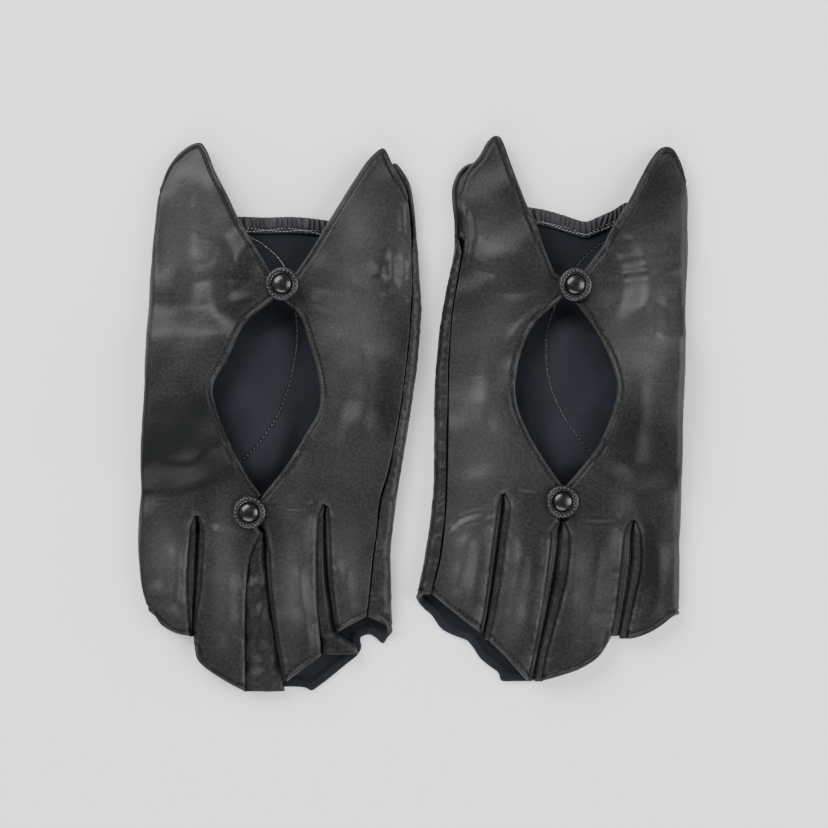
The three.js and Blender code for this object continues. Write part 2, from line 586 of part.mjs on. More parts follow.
function glove(hand, centre) {
  const form = formOf(hand);
  const indexHalf = indexHalfOutline(hand, form);
  const littleHalf = littleHalfOutline(hand, form);
  const [snap, rivet] = grade([hand.snap, hand.rivet]);
  const flapTop = form.over(...snap);
  const backTop = form.over(...rivet);
  const stack = snapStack();
  const washer = LEATHER + SEAM_GAP + FLANGE;
  const pieces = [
    ['palm', palm(hand, form), 'leather'],
    ['thumb_base', thumbBase(hand, form), 'leather'],
    ['thumb', thumb(hand), 'leather'],
    ['back_index_side', backHalf(hand, form, indexHalf, hand.indexHinge, -1), 'leather'],
    ['back_little_side', backHalf(hand, form, littleHalf, hand.littleHinge, 1), 'leather'],
    ['wrist_flap_index', wristFlap(hand, form, indexHalf, hand.indexHinge, -1, stack.rise), 'leather'],
    ['wrist_flap_little', wristFlap(hand, form, littleHalf, hand.littleHinge, 1, 0), 'leather'],
    ['wrist_elastic', elastic(hand, form), 'elastic'],
    ['snap_post', post(snap, flapTop - washer, washer + STUD_HEIGHT - BEVEL), 'steel'],
    ['snap_stud', stud(snap, flapTop + stack.studBase), 'steel'],
    ['snap_socket', socket(snap, flapTop + stack.socketBase), 'steel'],
    ['snap_spring', springRing(snap, flapTop + stack.socketBase), 'steel'],
    ['snap_ring', capRing(snap, flapTop + stack.cap), 'cap'],
    ['snap_dome', capDome(snap, flapTop + stack.cap + FLANGE + SEAM_GAP), 'dome'],
    ['knuckle_post', post(rivet, backTop - washer, washer + SEAM_GAP + FLANGE), 'steel'],
    ['knuckle_ring', capRing(rivet, backTop + SEAM_GAP), 'cap'],
    ['knuckle_dome', capDome(rivet, backTop + 2 * SEAM_GAP + FLANGE), 'dome'],
  ];
  for (const [between, slit] of Object.entries(hand.slits)) {
    pieces.push([`fourchette_${between}`, fourchette(hand, form, slit), 'fourchette']);
  }
  return pieces.map(([name, piece, finish]) => meshOf(piece, name, finish, hand, centre));
}

// How far apart the two hands' centre lines lie, little fingers toward each other.
function pairSpacing() {
  let widest = 0;
  for (let v = -BLOCK_LENGTH / 2; v < BLOCK_LENGTH / 2; v += 4) {
    const both = edgeAt(LEFT.littleEdge, gradeV(v)) + edgeAt(RIGHT.littleEdge, gradeV(v));
    widest = Math.max(widest, both);
  }
  return widest + PAIR_GAP;
}

const spacing = pairSpacing();
const pair = new THREE.Group();
pair.add(...glove(LEFT, -spacing / 2), ...glove(RIGHT, spacing / 2));

// The origin is the middle of the pair's footprint, on the table.
const box = new THREE.Box3().setFromObject(pair);
const middle = box.getCenter(new THREE.Vector3());
pair.position.set(-middle.x, -middle.y, -box.min.z);

export default pair;
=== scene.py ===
"""A pair of fingerless leather driving gloves, lying flat side by side, backs up.

Every leather piece is cut as a flat pattern and then laid over the glove's form, so that its
hems, seams, folds and wrinkles follow the leather. Sizes in the patterns are millimetres.
u runs across a hand from its index side to its little side, v along it toward the wrist.
"""
import math

import bmesh
import bpy
import numpy as np
from bpy.props import FloatProperty, FloatVectorProperty, IntProperty, PointerProperty
from bpy.types import Operator, Panel, PropertyGroup
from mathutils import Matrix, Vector
from mathutils.geometry import delaunay_2d_cdt


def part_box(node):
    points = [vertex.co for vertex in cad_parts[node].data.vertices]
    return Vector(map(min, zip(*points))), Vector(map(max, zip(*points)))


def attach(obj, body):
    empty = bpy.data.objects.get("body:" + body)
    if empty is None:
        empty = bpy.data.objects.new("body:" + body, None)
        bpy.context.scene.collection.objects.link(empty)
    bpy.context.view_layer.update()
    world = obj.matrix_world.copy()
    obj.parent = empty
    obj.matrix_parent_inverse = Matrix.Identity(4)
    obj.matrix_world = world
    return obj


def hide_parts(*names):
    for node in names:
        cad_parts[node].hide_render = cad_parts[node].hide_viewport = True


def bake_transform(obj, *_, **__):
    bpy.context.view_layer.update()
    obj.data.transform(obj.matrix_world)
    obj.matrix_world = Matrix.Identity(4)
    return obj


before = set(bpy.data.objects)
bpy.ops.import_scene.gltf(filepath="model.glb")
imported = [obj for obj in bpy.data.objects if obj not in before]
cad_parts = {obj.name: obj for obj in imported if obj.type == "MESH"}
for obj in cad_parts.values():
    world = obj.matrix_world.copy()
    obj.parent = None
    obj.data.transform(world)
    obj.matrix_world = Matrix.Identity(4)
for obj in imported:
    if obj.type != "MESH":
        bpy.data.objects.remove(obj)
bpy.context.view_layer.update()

bl_info = {
    "name": "Leather Driving Gloves",
    "version": (1, 0, 0),
    "blender": (4, 5, 0),
    "location": "3D View > Sidebar > Gloves",
    "description": "Builds a pair of fingerless leather driving gloves on their packed frame",
    "category": "Object",
}

MM = 0.001
HANDS = ("left", "right")

# ---------------------------------------------------------------- form of the glove, in mm

SIDE_HEIGHT = 6.8  # height of the glove at its side folds
CROWN = 3.0  # how much higher the middle of the hand stands
FOLD_RADIUS = 3.0  # how round the side folds are, seen from above
FOLD_LENGTH = 12.0  # leather taken up in going round a side fold
UNDER_STRIP = 3.0  # the back reaches this far under the glove on the index side
LEVEL_RADIUS = 16.0  # the leather lies level this far round a snap or rivet
LEVEL_FALL = 10.0  # distance over which it takes up the glove's own form again
FLAP_RISE = 4.6  # the outer wrist flap stands this much higher on the snap
THUMB_ROOT = (-39.6, 6.0)  # middle of the thumb's root, where it folds under
THUMB_ROOT_WIDTH = 30.0
THUMB_TIP_WIDTH = 25.0
THUMB_LENGTH = 32.0
THUMB_LEAN = -5.0  # how far toward the fingers the thumb's end lies
THUMB_HEIGHT = 4.2
THUMB_CLEARANCE = 0.4  # between the thumb and the palm lying on it
LIFT_MARGIN = 4.5  # level leather past the thumb before the palm comes down
LIFT_FALL = 12.0  # distance over which the palm comes down to the table
TAB_RADIUS = 5.4  # rounded end of each wrist flap, under the cap
SEAM_GAP = 0.3  # between the two halves of the back at the rivet
PALM_CUT = 0.5  # width of a cut between two fingers of the palm
FINGER_SINK = (1.3, -58, 34)  # the back sinks at the finger ends: depth, first v, length
POINT_SINK = (2.2, 66, 28)  # the same at the tips of the wrist points
SEEDS = {"left": 11, "right": 47}  # of each glove's own wrinkles
TABLE_LIFT = 0.02  # nothing goes lower than this above the table

# Fold lines of the wrist flaps, each from the window's edge to the side, as [u, v] points.
HINGES = {
    "left": {"index": ((-21.4, 8), (-43.4, 58.4)), "little": ((14, 6), (47.6, 58.4))},
    "right": {"index": ((-17.8, 9), (-43.6, 58.4)), "little": ((14.8, 8), (36, 58.4))},
}
FLAP_CREASE = (1.0, 6.5)  # the bend starts this far before a fold line and ends this far past it

# ---------------------------------------------------------------- leatherwork and hardware, in mm

EDGE_ROWS = (0.12, 0.3, 0.55, 0.85, 1.2, 1.55, 1.9, 2.25, 2.7, 3.3, 4.1)  # rows of points beside an edge
NET_START = 4.4  # the even net of points starts this far inside an edge
ROW_HEIGHT = 0.866  # of a net of even triangles, by their side
OUTLINE_STEP = 0.75
STITCH_STEP = 0.5  # distance between the points of a stitch line

STRIP_REACH = (5.5, 2.0)  # how far the strip behind the wrist point reaches under it
STRIP_LEATHER = 0.7
GUSSET_LEATHER = 0.55
GUSSET_OVERLAP = 1.05  # two walls that meet press together by this much
GUSSET_GROWTH = 1.35  # and are let out by no more than this to meet

THUMB_TAIL = 0.04  # share of the thumb's length that runs on past its root, inside the side fold
THUMB_LEATHER = 0.85
THUMB_HEM = 2.6
THUMB_HEM_LEATHER = 1.25
THUMB_HEM_STITCH = 1.9
THUMB_BEND = (1.2, 2.4)  # the bend starts this far before the root and ends this far past it

ELASTIC_WIDTH = 5.6
ELASTIC_LENGTH = 50.0
ELASTIC_THICKNESS = 1.2
ELASTIC_INSET = 0.25  # from the cuff's edge
ELASTIC_STEP = 0.16  # distance between the points of the gathered band
ELASTIC_CLOTH = 0.5
ZIGZAG_ROW = 0.8  # where the zigzag lies across the band, from 0 at the cuff to 1
ZIGZAG_SWING = 0.62

CAP_HOLE = 1.5  # radius of the middle of a cap, hidden by its dome
FLANGE = 4.2  # radius of the stud's foot and of the washers behind the leather
SHEET_METAL = 0.5
SHANK = 1.2
STUD = (2.7, 2.4, 1.7)  # radius of its bulge and of its neck, and its height
SOCKET = 4.9
SOCKET_MOUTH = 3.1
SOCKET_GROOVE = (4.4, 0.35, 1.55)  # radius, foot and top of the groove for the wire
SPRING_RING = 3.7
SPRING_WIRE = 0.3

# ---------------------------------------------------------------- the stage, in metres

FLOOR_REACH = 3.0
CAMERA_LENS = (100, 36)  # focal length and sensor width in millimetres
VIEW_WIDTH = 0.2815
VIEW_CENTRE = (0.00045, 0.00008)
VIEW_LEVEL = 0.009  # height at which the view is VIEW_WIDTH wide
WORLD_LIGHT = 0.22
SOFT_LIGHTS = (  # name, place, aim, size and watts
    ("high_left", (-0.8, 0.9, 1.05), (0, 0, 0), (1.3, 1.0), 42.0),
    ("right", (1.3, 0.0, 0.85), (0, 0, 0), (1.0, 1.5), 34.0),
    ("low_front", (-0.3, -1.3, 0.8), (0, 0, 0), (1.6, 0.8), 24.0),
)

# ---------------------------------------------------------------- flat patterns, in mm

# "index_edge" and "little_edge", the side folds, are [v, u] pairs from the wrist down. Other lines are
# [u, v] points. A gusset has two walls: the edge it hangs from, the side it fills, how far it reaches as
# [v, reach] pairs, and its end. The painted sheen list gives places of painted highlight and painted
# shade: u, v, size across and along, and how much paler they are painted, darker where negative.
# "creases" lists lines with their width and height.
LEFT = {
    "side": 1,
    "index_edge": [(94, -36), (85, -38.6), (75, -41.6), (56, -43.4), (28, -44.8), (1, -46.1), (-26, -47.3),
                   (-45, -48.2), (-53, -48.1), (-58, -47.8), (-62, -47.0), (-66, -45.4), (-70, -43.2),
                   (-98, -42.6)],
    "little_edge": [(94, 38), (85, 41.5), (75, 45.6), (56, 47.7), (35, 49.1), (15, 47.4), (-6, 44.3),
                    (-26, 40.9), (-46, 38.3), (-98, 39.4)],
    "snap": (1.8, 43.7),
    "rivet": (-9.6, -33.6),
    "index_window": [(-0.6, 38.6), (-10.6, 29.9), (-16, 19.2), (-21.4, 9), (-20, 1.2), (-16, -8.8),
                     (-10.6, -20.2), (-5.3, -27.7)],
    "little_window": [(1.2, 38.8), (6.9, 33.6), (10.2, 24.7), (13.8, 10.4), (13.6, 1.2), (9.6, -6.2),
                      (4.2, -15.5), (-5.3, -27.7)],
    "index_tab": (-110, 132),
    "little_tab": (-95, -313),
    "im_index": [(-27.8, -34.9), (-29.5, -39.6), (-30.5, -49.8), (-30.8, -60.0), (-30.2, -70.2),
                 (-29.7, -76.3)],
    "im_middle": [(-27.1, -34.9), (-25.7, -39.6), (-26.1, -49.8), (-26.8, -60.0), (-28.1, -67.5),
                  (-29.0, -74.3), (-28.8, -80.4)],
    "mr_middle": [(-5.3, -40.3), (-7.4, -44.7), (-9.4, -49.8), (-10.4, -56.6), (-10.8, -63.4), (-11.1, -77.0),
                  (-11.0, -95.4)],
    "mr_ring": [(-4.3, -40.3), (-3.3, -46.4), (-2.6, -56.6), (-1.6, -66.8), (-0.2, -77.0), (1.5, -86.2),
                (2.8, -91.6)],
    "rl_ring": [(15.4, -31.1), (14.2, -34.9), (13.5, -43.0), (13.4, -56.6), (13.7, -66.8), (14.4, -75.3),
                (15.1, -82.5)],
    "rl_little": [(16.8, -31.8), (17.4, -43.0), (17.8, -53.2), (18.8, -63.4), (19.6, -70.2), (20.2, -75.0)],
    "index_end": [(-29.7, -76.3), (-34.4, -75.4), (-38.6, -73.4), (-41.4, -71.2)],
    "index_fold_end": [(2, -69.6), (5, -68.2), (8, -67.6), (11, -68), (15, -69.4)],
    "middle_end": [(-11.0, -95.4), (-18.9, -91.0), (-25.4, -86.5), (-27.8, -83.8), (-28.8, -80.4)],
    "ring_end": [(2.8, -91.6), (7.6, -87.9), (15.1, -82.5)],
    "little_end": [(20.2, -75.0), (24.6, -72.2), (30.4, -69.2)],
    "side_seam": [(45.0, 74.3), (45.7, 67.5), (46.2, 59.0), (45.7, 38.6), (44.3, 21.6), (41.2, -2.2),
                  (37.8, -19.2), (34.8, -29.4), (33.8, -39.6), (32.4, -49.8), (31.4, -60.0), (30.4, -69.2)],
    "index_ear_side": [(5.2, 60), (5.2, 70), (4.6, 77)],
    "index_ear": [(-38.6, 84.6), (-33.2, 89.9), (-29.1, 92.5), (-26.4, 92.7), (-24.4, 90.3), (-21.3, 82.8),
                  (-16.9, 74.3), (-12.8, 65.8), (-5.3, 53.6), (-1.9, 48.1)],
    "little_ear_v": [(5.9, 48.1), (11.0, 55.6), (17.8, 66.5), (24.6, 77.7), (30.7, 86.9), (34.0, 90.2)],
    "little_ear_out": [(34.0, 90.2), (35.8, 91.0), (37.4, 89.6), (38.9, 86.2), (42.6, 78.7), (45.0, 74.3)],
    "little_strip": [(36.9, 84.0), (39.9, 85.9), (42.6, 83.1), (45.0, 78.7), (46.3, 72.6), (47.1, 65.0),
                     (47.4, 60.0)],
    "palm_middle": [(-28.8, -80.4), (-27.8, -83.5), (-25.4, -86.2), (-18.9, -90.6), (-11.1, -94.9),
                    (-6.0, -94.4)],
    "palm_ring": [(-5.2, -94.3), (2.5, -94.0), (9.3, -94.4), (11.0, -95.4), (14.4, -93.3), (22.9, -86.5),
                  (27.3, -82.8), (28.4, -80.4), (28.0, -77.6)],
    "palm_little": [(28.3, -76.8), (31.0, -76.0), (33.4, -77.4), (35.6, -79.2)],
    "palm_fold_end": [(2.5, -77), (6, -75), (10, -72.4)],
    "palm_middle_slit": [(-6.0, -94.4), (-5.1, -40.3)],
    "palm_ring_slit": [(-4.5, -40.3), (-5.2, -94.3)],
    "palm_little_slit": [(16.6, -31.8), (28.3, -76.8)],
    "cuff": [(40, 62.5), (32, 64.6), (22.9, 65.8), (16.4, 66.5), (10.3, 67.3), (4.2, 67.7), (-4.3, 67.5),
             (-13.8, 67.7), (-22, 67), (-31, 65), (-38, 60.5)],
    "thumb_seam": [(-10.2, 61.0), (-4.6, 57.6), (2.1, 50.2), (6.2, 29.9), (5.5, 19.2), (0.1, 0.3),
                   (-11.9, -15.5), (-28, -23)],
    "gussets": {
        "index_middle": (
            ("im_index", 1, [(-35, 0.4), (-45, 2.6), (-60, 2.2), (-76.3, 0.4)], -76.3),
            ("im_middle", -1, [(-35, 0.4), (-45, 1.7), (-60, 1.2), (-70, 0.5), (-80.4, 0.2)], -79.0)),
        "middle_ring": (
            ("mr_middle", 1, [(-40.3, 0.5), (-46, 3.9), (-57, 7.2), (-67, 8.3), (-77, 9.7), (-86, 11.3),
                              (-95, 13.2)], -95.0),
            ("mr_ring", -1, [(-40.3, 0.3), (-50, 1.4), (-70, 1.2), (-91.6, 0.8)], -91.3)),
        "ring_little": (
            ("rl_ring", 1, [(-31, 0.6), (-40, 2.4), (-60, 3.4), (-70, 4.6), (-75.5, 7.0), (-78.5, 11.2),
                            (-82.3, 12.4)], -82.3),
            ("rl_little", -1, [(-31, 0.4), (-40, 1.6), (-60, 1.2), (-75, 0.8)], -74.6)),
    },
    # painted highlight where the amount is positive, painted shade where it is negative
    "painted_sheen_and_shade": [(-30, 60, 13, 26, 0.5), (-30, -9, 17, 15, -0.6), (-38, -48, 7, 13, 0.45),
              (-18, -55, 5, 21, 0.5), (-5, -72, 3, 17, 0.4), (5, -58, 4, 20, 0.5), (24, -52, 5, 16, 0.4),
              (25, 30, 11, 26, 0.5), (26, 66, 7, 14, 0.4), (42, 52, 4, 12, 0.45), (24, -22, 12, 10, 0.1),
              (38, 0, 5, 30, -0.2), (-12, 40, 5, 12, -0.2)],
    "creases": [
        ([(-24, -35.8), (-17.9, -38.3), (-10.8, -40)], 0.9, -0.55),
        ([(-23, -38.4), (-17, -41), (-11, -42.8)], 1.6, 0.3),
        ([(-3.3, -29.4), (4.2, -31.6), (11, -31.6), (14.2, -29.9), (16.6, -30.4)], 0.8, 0.6),
        ([(-2, -31.8), (4.2, -33.8), (11, -33.8)], 0.8, -0.4),
        ([(39.2, 57), (39.0, 48), (39.4, 42)], 1.8, 0.9),
        ([(34.8, 52), (34.6, 46)], 2.4, -0.7),
        ([(42.9, 54), (43.0, 45)], 1.3, -0.6),
        ([(35, 41.2), (40, 39.6), (45.4, 38.8)], 0.9, -0.6),
        ([(42.3, 73), (42.6, 60)], 1.1, 0.5),
        ([(-28.5, 82), (-29, 60), (-30, 34)], 4.5, -0.9),
        ([(-18.5, 62), (-14, 52), (-9, 44)], 1.6, 0.35),
        ([(-16.9, -52), (-17.2, -66), (-17.6, -80)], 2.4, 0.5),
        ([(-22.6, -44), (-22.8, -60), (-23, -78)], 2.0, -0.3),
        ([(6.6, -50), (8.6, -64), (10.6, -79)], 1.7, 0.6),
        ([(3.4, -56), (4.6, -70), (6.8, -84)], 1.7, -0.4),
        ([(22.4, -50), (23.4, -62), (24.6, -70)], 2.2, 0.5),
        ([(-34.5, -44), (-35, -56), (-35.4, -68)], 2.6, 0.5),
        ([(-40.5, -42), (-40.6, -60)], 2.2, -0.35),
        ([(0, 40), (12, 38), (24, 33)], 1.4, 0.35),
        ([(8, 43), (20, 42), (30, 41)], 1.2, -0.3),
        ([(-6, 40), (-18, 37), (-30, 31)], 1.4, 0.3),
        ([(-8, 45), (-20, 46), (-31, 44)], 1.2, -0.25),
        ([(27, 28), (30, 10), (28, -8)], 3.0, 0.5),
        ([(20, 24), (22, 6), (18, -14)], 2.6, -0.35),
    ],
}

RIGHT = {
    "side": -1,
    "index_edge": [(94, -41), (85, -42.8), (75, -43.7), (42, -43.3), (22, -42.3), (1, -41.6), (-39, -41),
                   (-56, -40.7), (-98, -40.2)],
    "little_edge": [(94, 27), (85, 33.4), (76, 37.2), (56, 36.2), (42, 39.3), (28, 41.7), (8, 43.3),
                    (-26, 43.5), (-40, 45.1), (-52, 47.1), (-63, 49.5), (-98, 49.5)],
    "snap": (-4.2, 43.4),
    "rivet": (-0.2, -29.9),
    "index_window": [(-3.4, 38.4), (-12.2, 25.7), (-18.1, 10.2), (-16.8, 1.3), (-10.9, -12.3), (-0.8, -25)],
    "little_window": [(-0.6, 38.8), (9.4, 29.8), (14.5, 16.7), (15.1, 4.6), (10, -8.3), (-0.8, -25)],
    "index_tab": (-100, 120),
    "little_tab": (-50, -324),
    "im_index": [(-25.3, -36.6), (-26.7, -41.3), (-27.2, -49.8), (-26.3, -56.6), (-24.6, -65.1),
                 (-22.9, -71.9), (-22.1, -77.0)],
    "im_middle": [(-24.0, -36.6), (-21.9, -41.3), (-20.9, -49.8), (-19.9, -60.0), (-18.9, -68.5),
                  (-17.5, -76.0)],
    "mr_middle": [(-0.5, -36.6), (-2.2, -40.3), (-2.7, -46.4), (-1.5, -56.6), (0.2, -63.4), (2.6, -71.9),
                  (5.3, -82.1), (7.0, -91.6)],
    "mr_ring": [(0.4, -36.6), (2.6, -39.6), (3.6, -46.4), (4.9, -56.6), (6.3, -66.8), (8.0, -77.0),
                (9.7, -85.5), (11.1, -91.3)],
    "rl_ring": [(19.2, -27.4), (17.9, -31.1), (18.2, -36.2), (19.6, -46.4), (21.6, -60.0), (23.3, -70.2),
                (25.0, -77.4)],
    "rl_little": [(20.6, -27.7), (21.9, -36.2), (23.0, -46.4), (24.7, -60.0), (26.0, -68.5), (27.4, -75.0)],
    "index_end": [(-22.1, -77.0), (-24.0, -77.0), (-30.1, -75.0), (-35.2, -71.9), (-37.8, -69.9)],
    "index_fold_end": [(2.5, -69.0), (6, -69.2), (10, -70), (15, -72)],
    "middle_end": [(7.0, -91.6), (0.5, -89.6), (-6.3, -87.2), (-12.1, -83.6), (-14.8, -80.4), (-17.5, -76.0)],
    "ring_end": [(11.1, -91.3), (12.6, -90.2), (19.2, -82.8), (25.0, -77.4)],
    "little_end": [(27.4, -75.0), (34.5, -69.5), (39.6, -65.5), (44.2, -61.5)],
    "side_seam": [(35.5, 76.0), (33.8, 67.5), (33.3, 57.3), (35.0, 47.1), (37.0, 35.2), (38.3, 18.2),
                  (38.6, -2.2), (38.9, -22.6), (39.6, -36.2), (41.3, -49.8), (44.2, -61.5)],
    "index_ear_side": [(5.2, 60), (5.2, 72), (4.6, 80)],
    "index_ear": [(-40.6, 89.0), (-37.2, 91.5), (-34.2, 91.0), (-30.8, 87.2), (-26.7, 80.1), (-22.6, 72.2),
                  (-17.5, 64.1), (-13.1, 56.3), (-7.3, 48.8)],
    "little_ear_v": [(2.2, 48.1), (5.6, 56.3), (8.3, 64.1), (11.7, 71.6), (15.8, 82.1), (19.2, 92.0)],
    "little_ear_out": [(19.2, 92.0), (20.6, 94.6), (22.6, 95.2), (25.0, 93.3), (28.4, 87.6), (32.8, 82.9),
                       (35.5, 76.0)],
    "little_strip": [(28.0, 86.4), (32.5, 85.2), (35.5, 82.1), (37.2, 77.7), (37.3, 72.6), (36.6, 66.0),
                     (36.4, 60.0)],
    "palm_middle": [(-17.5, -76.0), (-14.8, -80.4), (-12.1, -83.6), (-6.3, -87.2), (0.5, -89.6),
                    (8.6, -91.8)],
    "palm_ring": [(9.3, -92.1), (15.8, -92.1), (20.4, -91.8), (21.3, -89.2), (24.3, -86.9), (27.7, -84.0),
                  (29.8, -80.8), (31.6, -78.5)],
    "palm_little": [(32.1, -78.0), (38.9, -75.3), (41.3, -73.6), (44.6, -69.0)],
    "palm_fold_end": [(3, -65.6), (7, -63), (10, -62)],
    "palm_middle_slit": [(8.6, -91.8), (-0.3, -36.6)],
    "palm_ring_slit": [(0.3, -36.6), (9.3, -92.1)],
    "palm_little_slit": [(20.4, -27.7), (32.1, -78.0)],
    "cuff": [(30, 66), (24, 71), (17.5, 72.6), (11.7, 71.2), (5.6, 70.2), (-1.2, 68.3), (-6.3, 66.6),
             (-9.0, 66.1), (-13.1, 67.7), (-18.2, 70.0), (-22.6, 72.6), (-28, 72.6), (-34, 69), (-38.5, 61)],
    "thumb_seam": [(-17.6, 60.4), (-12.8, 57.6), (-5.1, 49.8), (4, 30), (4.4, 14), (-1, -1), (-12.4, -15),
                   (-27, -22)],
    "gussets": {
        "index_middle": (
            ("im_index", 1, [(-36.6, 0.5), (-42, 2.2), (-55, 3.0), (-65, 2.6), (-77, 2.0)], -77.0),
            ("im_middle", -1, [(-36.6, 0.5), (-42, 2.2), (-55, 2.9), (-65, 2.6), (-76, 2.2)], -76.0)),
        "middle_ring": (
            ("mr_middle", 1, [(-36.6, 0.4), (-41, 2.2), (-50, 3.4), (-65, 3.6), (-80, 2.6),
                              (-91.6, 2.2)], -91.6),
            ("mr_ring", -1, [(-36.6, 0.4), (-41, 1.8), (-50, 2.4), (-65, 2.2), (-80, 1.4),
                             (-91.3, 1.4)], -91.3)),
        "ring_little": (
            ("rl_ring", 1, [(-27.4, 0.5), (-32, 1.8), (-46, 2.0), (-60, 1.8), (-77, 1.4)], -77.4),
            ("rl_little", -1, [(-27.4, 0.5), (-32, 1.2), (-46, 1.2), (-60, 1.0), (-75, 0.8)], -75.0)),
    },
    # painted highlight where the amount is positive, painted shade where it is negative
    "painted_sheen_and_shade": [(28, -8, 10, 34, 0.4), (-30, 36, 10, 22, 0.5), (-31, 74, 8, 12, -0.3),
              (-27, -10, 12, 14, -0.15), (34, -50, 6, 14, 0.4), (17, -58, 4, 20, 0.35), (-7, -58, 4, 20, 0.4),
              (-30, -52, 7, 16, -0.2), (24, 60, 7, 14, 0.25), (22, 30, 7, 12, 0.2), (-17, 26, 5, 9, 0.2)],
    "creases": [
        ([(20.9, -25.6), (14.1, -25.0), (5.6, -26.4)], 0.8, 0.5),
        ([(20.9, -27.4), (14.1, -27.0), (5.6, -28.2)], 0.7, -0.5),
        ([(38.4, -39.6), (35.2, -36.2), (29.4, -33.8), (22.6, -33.2)], 0.9, -0.6),
        ([(37, -41.5), (34.4, -38.4), (28.8, -36.4), (23, -36)], 1.3, 0.4),
        ([(-3.6, -36.6), (-13.1, -37.8), (-21.6, -36.8)], 0.9, -0.55),
        ([(-4, -34.6), (-13, -35.6), (-21, -34.8)], 1.3, 0.3),
        ([(-9.7, 46), (-18, 47), (-26.7, 48.6), (-43, 51.6)], 0.8, -0.6),
        ([(-12, 43.6), (-26, 45.6), (-42, 48.4)], 1.7, 0.5),
        ([(-14, 50.5), (-26, 53.5), (-40, 55.5)], 0.8, -0.35),
        ([(-17, 58), (-28, 60), (-40, 60)], 0.9, -0.3),
        ([(-31.8, 38), (-31.6, 25)], 2.2, 0.6),
        ([(-36, 40), (-36.4, 26)], 2.0, -0.4),
        ([(33.2, 71), (31.8, 60), (32.8, 52)], 1.2, 0.6),
        ([(29.6, 70), (28.4, 58)], 1.6, -0.5),
        ([(31.8, 53), (28, 49), (22, 47)], 0.9, -0.5),
        ([(4, 38), (14, 30), (20, 20)], 1.4, 0.4),
        ([(5, 43), (16, 41), (27, 42)], 1.2, -0.3),
        ([(31.5, -40), (33.6, -52), (36, -63)], 2.4, 0.6),
        ([(27.4, -42), (29.2, -56), (31.6, -68)], 1.6, -0.4),
        ([(13.4, -40), (15.4, -58), (18.2, -76)], 2.6, 0.5),
        ([(9.2, -42), (10.8, -60), (13.8, -80)], 1.6, -0.35),
        ([(-12.6, -42), (-10.8, -60), (-8.6, -78)], 2.4, 0.5),
        ([(-5.8, -46), (-4.2, -62), (-1.2, -78)], 1.7, -0.35),
        ([(-33.6, -44), (-32.8, -58), (-31, -70)], 2.4, 0.45),
        ([(24, 24), (26, 8), (25, -10)], 3.0, 0.45),
        ([(-27, 14), (-26, -4), (-24, -20)], 3.0, 0.45),
    ],
}

PATTERNS = {"left": LEFT, "right": RIGHT}

# ---------------------------------------------------------------- sizes and colours


def lengths(name, description, default):
    return FloatProperty(name=name, description=description, default=default, unit="LENGTH", precision=5)


def colours(name, description, default):
    return FloatVectorProperty(name=name, description=description, default=default, subtype="COLOR",
                               size=4, min=0.0, max=1.0)


class GloveSizes(PropertyGroup):
    """Sizes of the leatherwork, the stitching and the small hardware."""

    leather: lengths("Leather", "Thickness of one layer of glove leather", 0.0009)
    hem_turning: lengths("Hem turning", "Width of the leather turned in at a hem", 0.0031)
    hem_stitch: lengths("Hem stitch line", "Distance from a hemmed edge to its stitching", 0.0019)
    stitch_pitch: lengths("Stitch pitch", "Distance from one stitch to the next", 0.00165)
    stitch_length: lengths("Stitch length", "Length of one stitch", 0.00118)
    thread: lengths("Thread", "Width of the sewing thread", 0.00036)
    mesh_step: lengths("Mesh step", "Distance between points of a leather surface", 0.00115)
    ruffle_pitch: lengths("Ruffle pitch", "Distance between the gathers of the wrist elastic", 0.0019)
    cap_radius: lengths("Cap radius", "Outer radius of the snap and rivet caps", 0.0057)
    dome_radius: lengths("Dome radius", "Radius of the raised centre of a cap", 0.0033)
    cap_beads: IntProperty(name="Cap beads", description="Raised beads round the rim of a cap", default=22,
                           min=3)
    bead_radius: lengths("Bead radius", "Radius of one bead on a cap", 0.0006)


class GloveColours(PropertyGroup):
    """Colours of the leather, thread, metal and stage."""

    leather: colours("Leather", "Black glove leather in its darker areas", (0.0014, 0.0018, 0.0023, 1))
    # brownish grey of random pale patches and of the painted sheen: painted highlights are mixed toward it
    pale_and_sheen: colours("Pale and sheen leather", "Brownish grey of pale patches and painted sheen", (0.0430, 0.0420, 0.0412, 1))
    lining: colours("Flesh side", "Inside of the leather", (0.0058, 0.0072, 0.0098, 1))
    thread: colours("Thread", "Sewing thread", (0.0060, 0.0060, 0.0066, 1))
    seam_thread: colours("Seam thread", "Thread of the seam inside the palm", (0.0260, 0.0265, 0.0290, 1))
    elastic_thread: colours("Elastic thread", "Zigzag that holds the elastic", (0.1300, 0.1300, 0.1350, 1))
    elastic: colours("Elastic", "Gathered band inside the wrist", (0.0110, 0.0115, 0.0135, 1))
    cap: colours("Cap", "Dark enamelled rim of a cap", (0.0160, 0.0165, 0.0180, 1))
    dome: colours("Dome", "Glossy centre of a cap", (0.0030, 0.0030, 0.0035, 1))
    steel: colours("Steel", "Plated parts of the snap", (0.3200, 0.3250, 0.3300, 1))
    floor: colours("Floor", "Pale floor under the gloves", (0.9000, 0.9000, 0.9000, 1))


def sizes():
    return bpy.context.scene.glove_sizes


def tones():
    return bpy.context.scene.glove_colours


# ---------------------------------------------------------------- curves and noise in the pattern


def ease(x):
    x = np.clip(x, 0.0, 1.0)
    return x * x * (3 - 2 * x)


def mix(a, b, t):
    return a + (b - a) * t


def bump(x, width):
    return np.exp(-((x / width) ** 2))


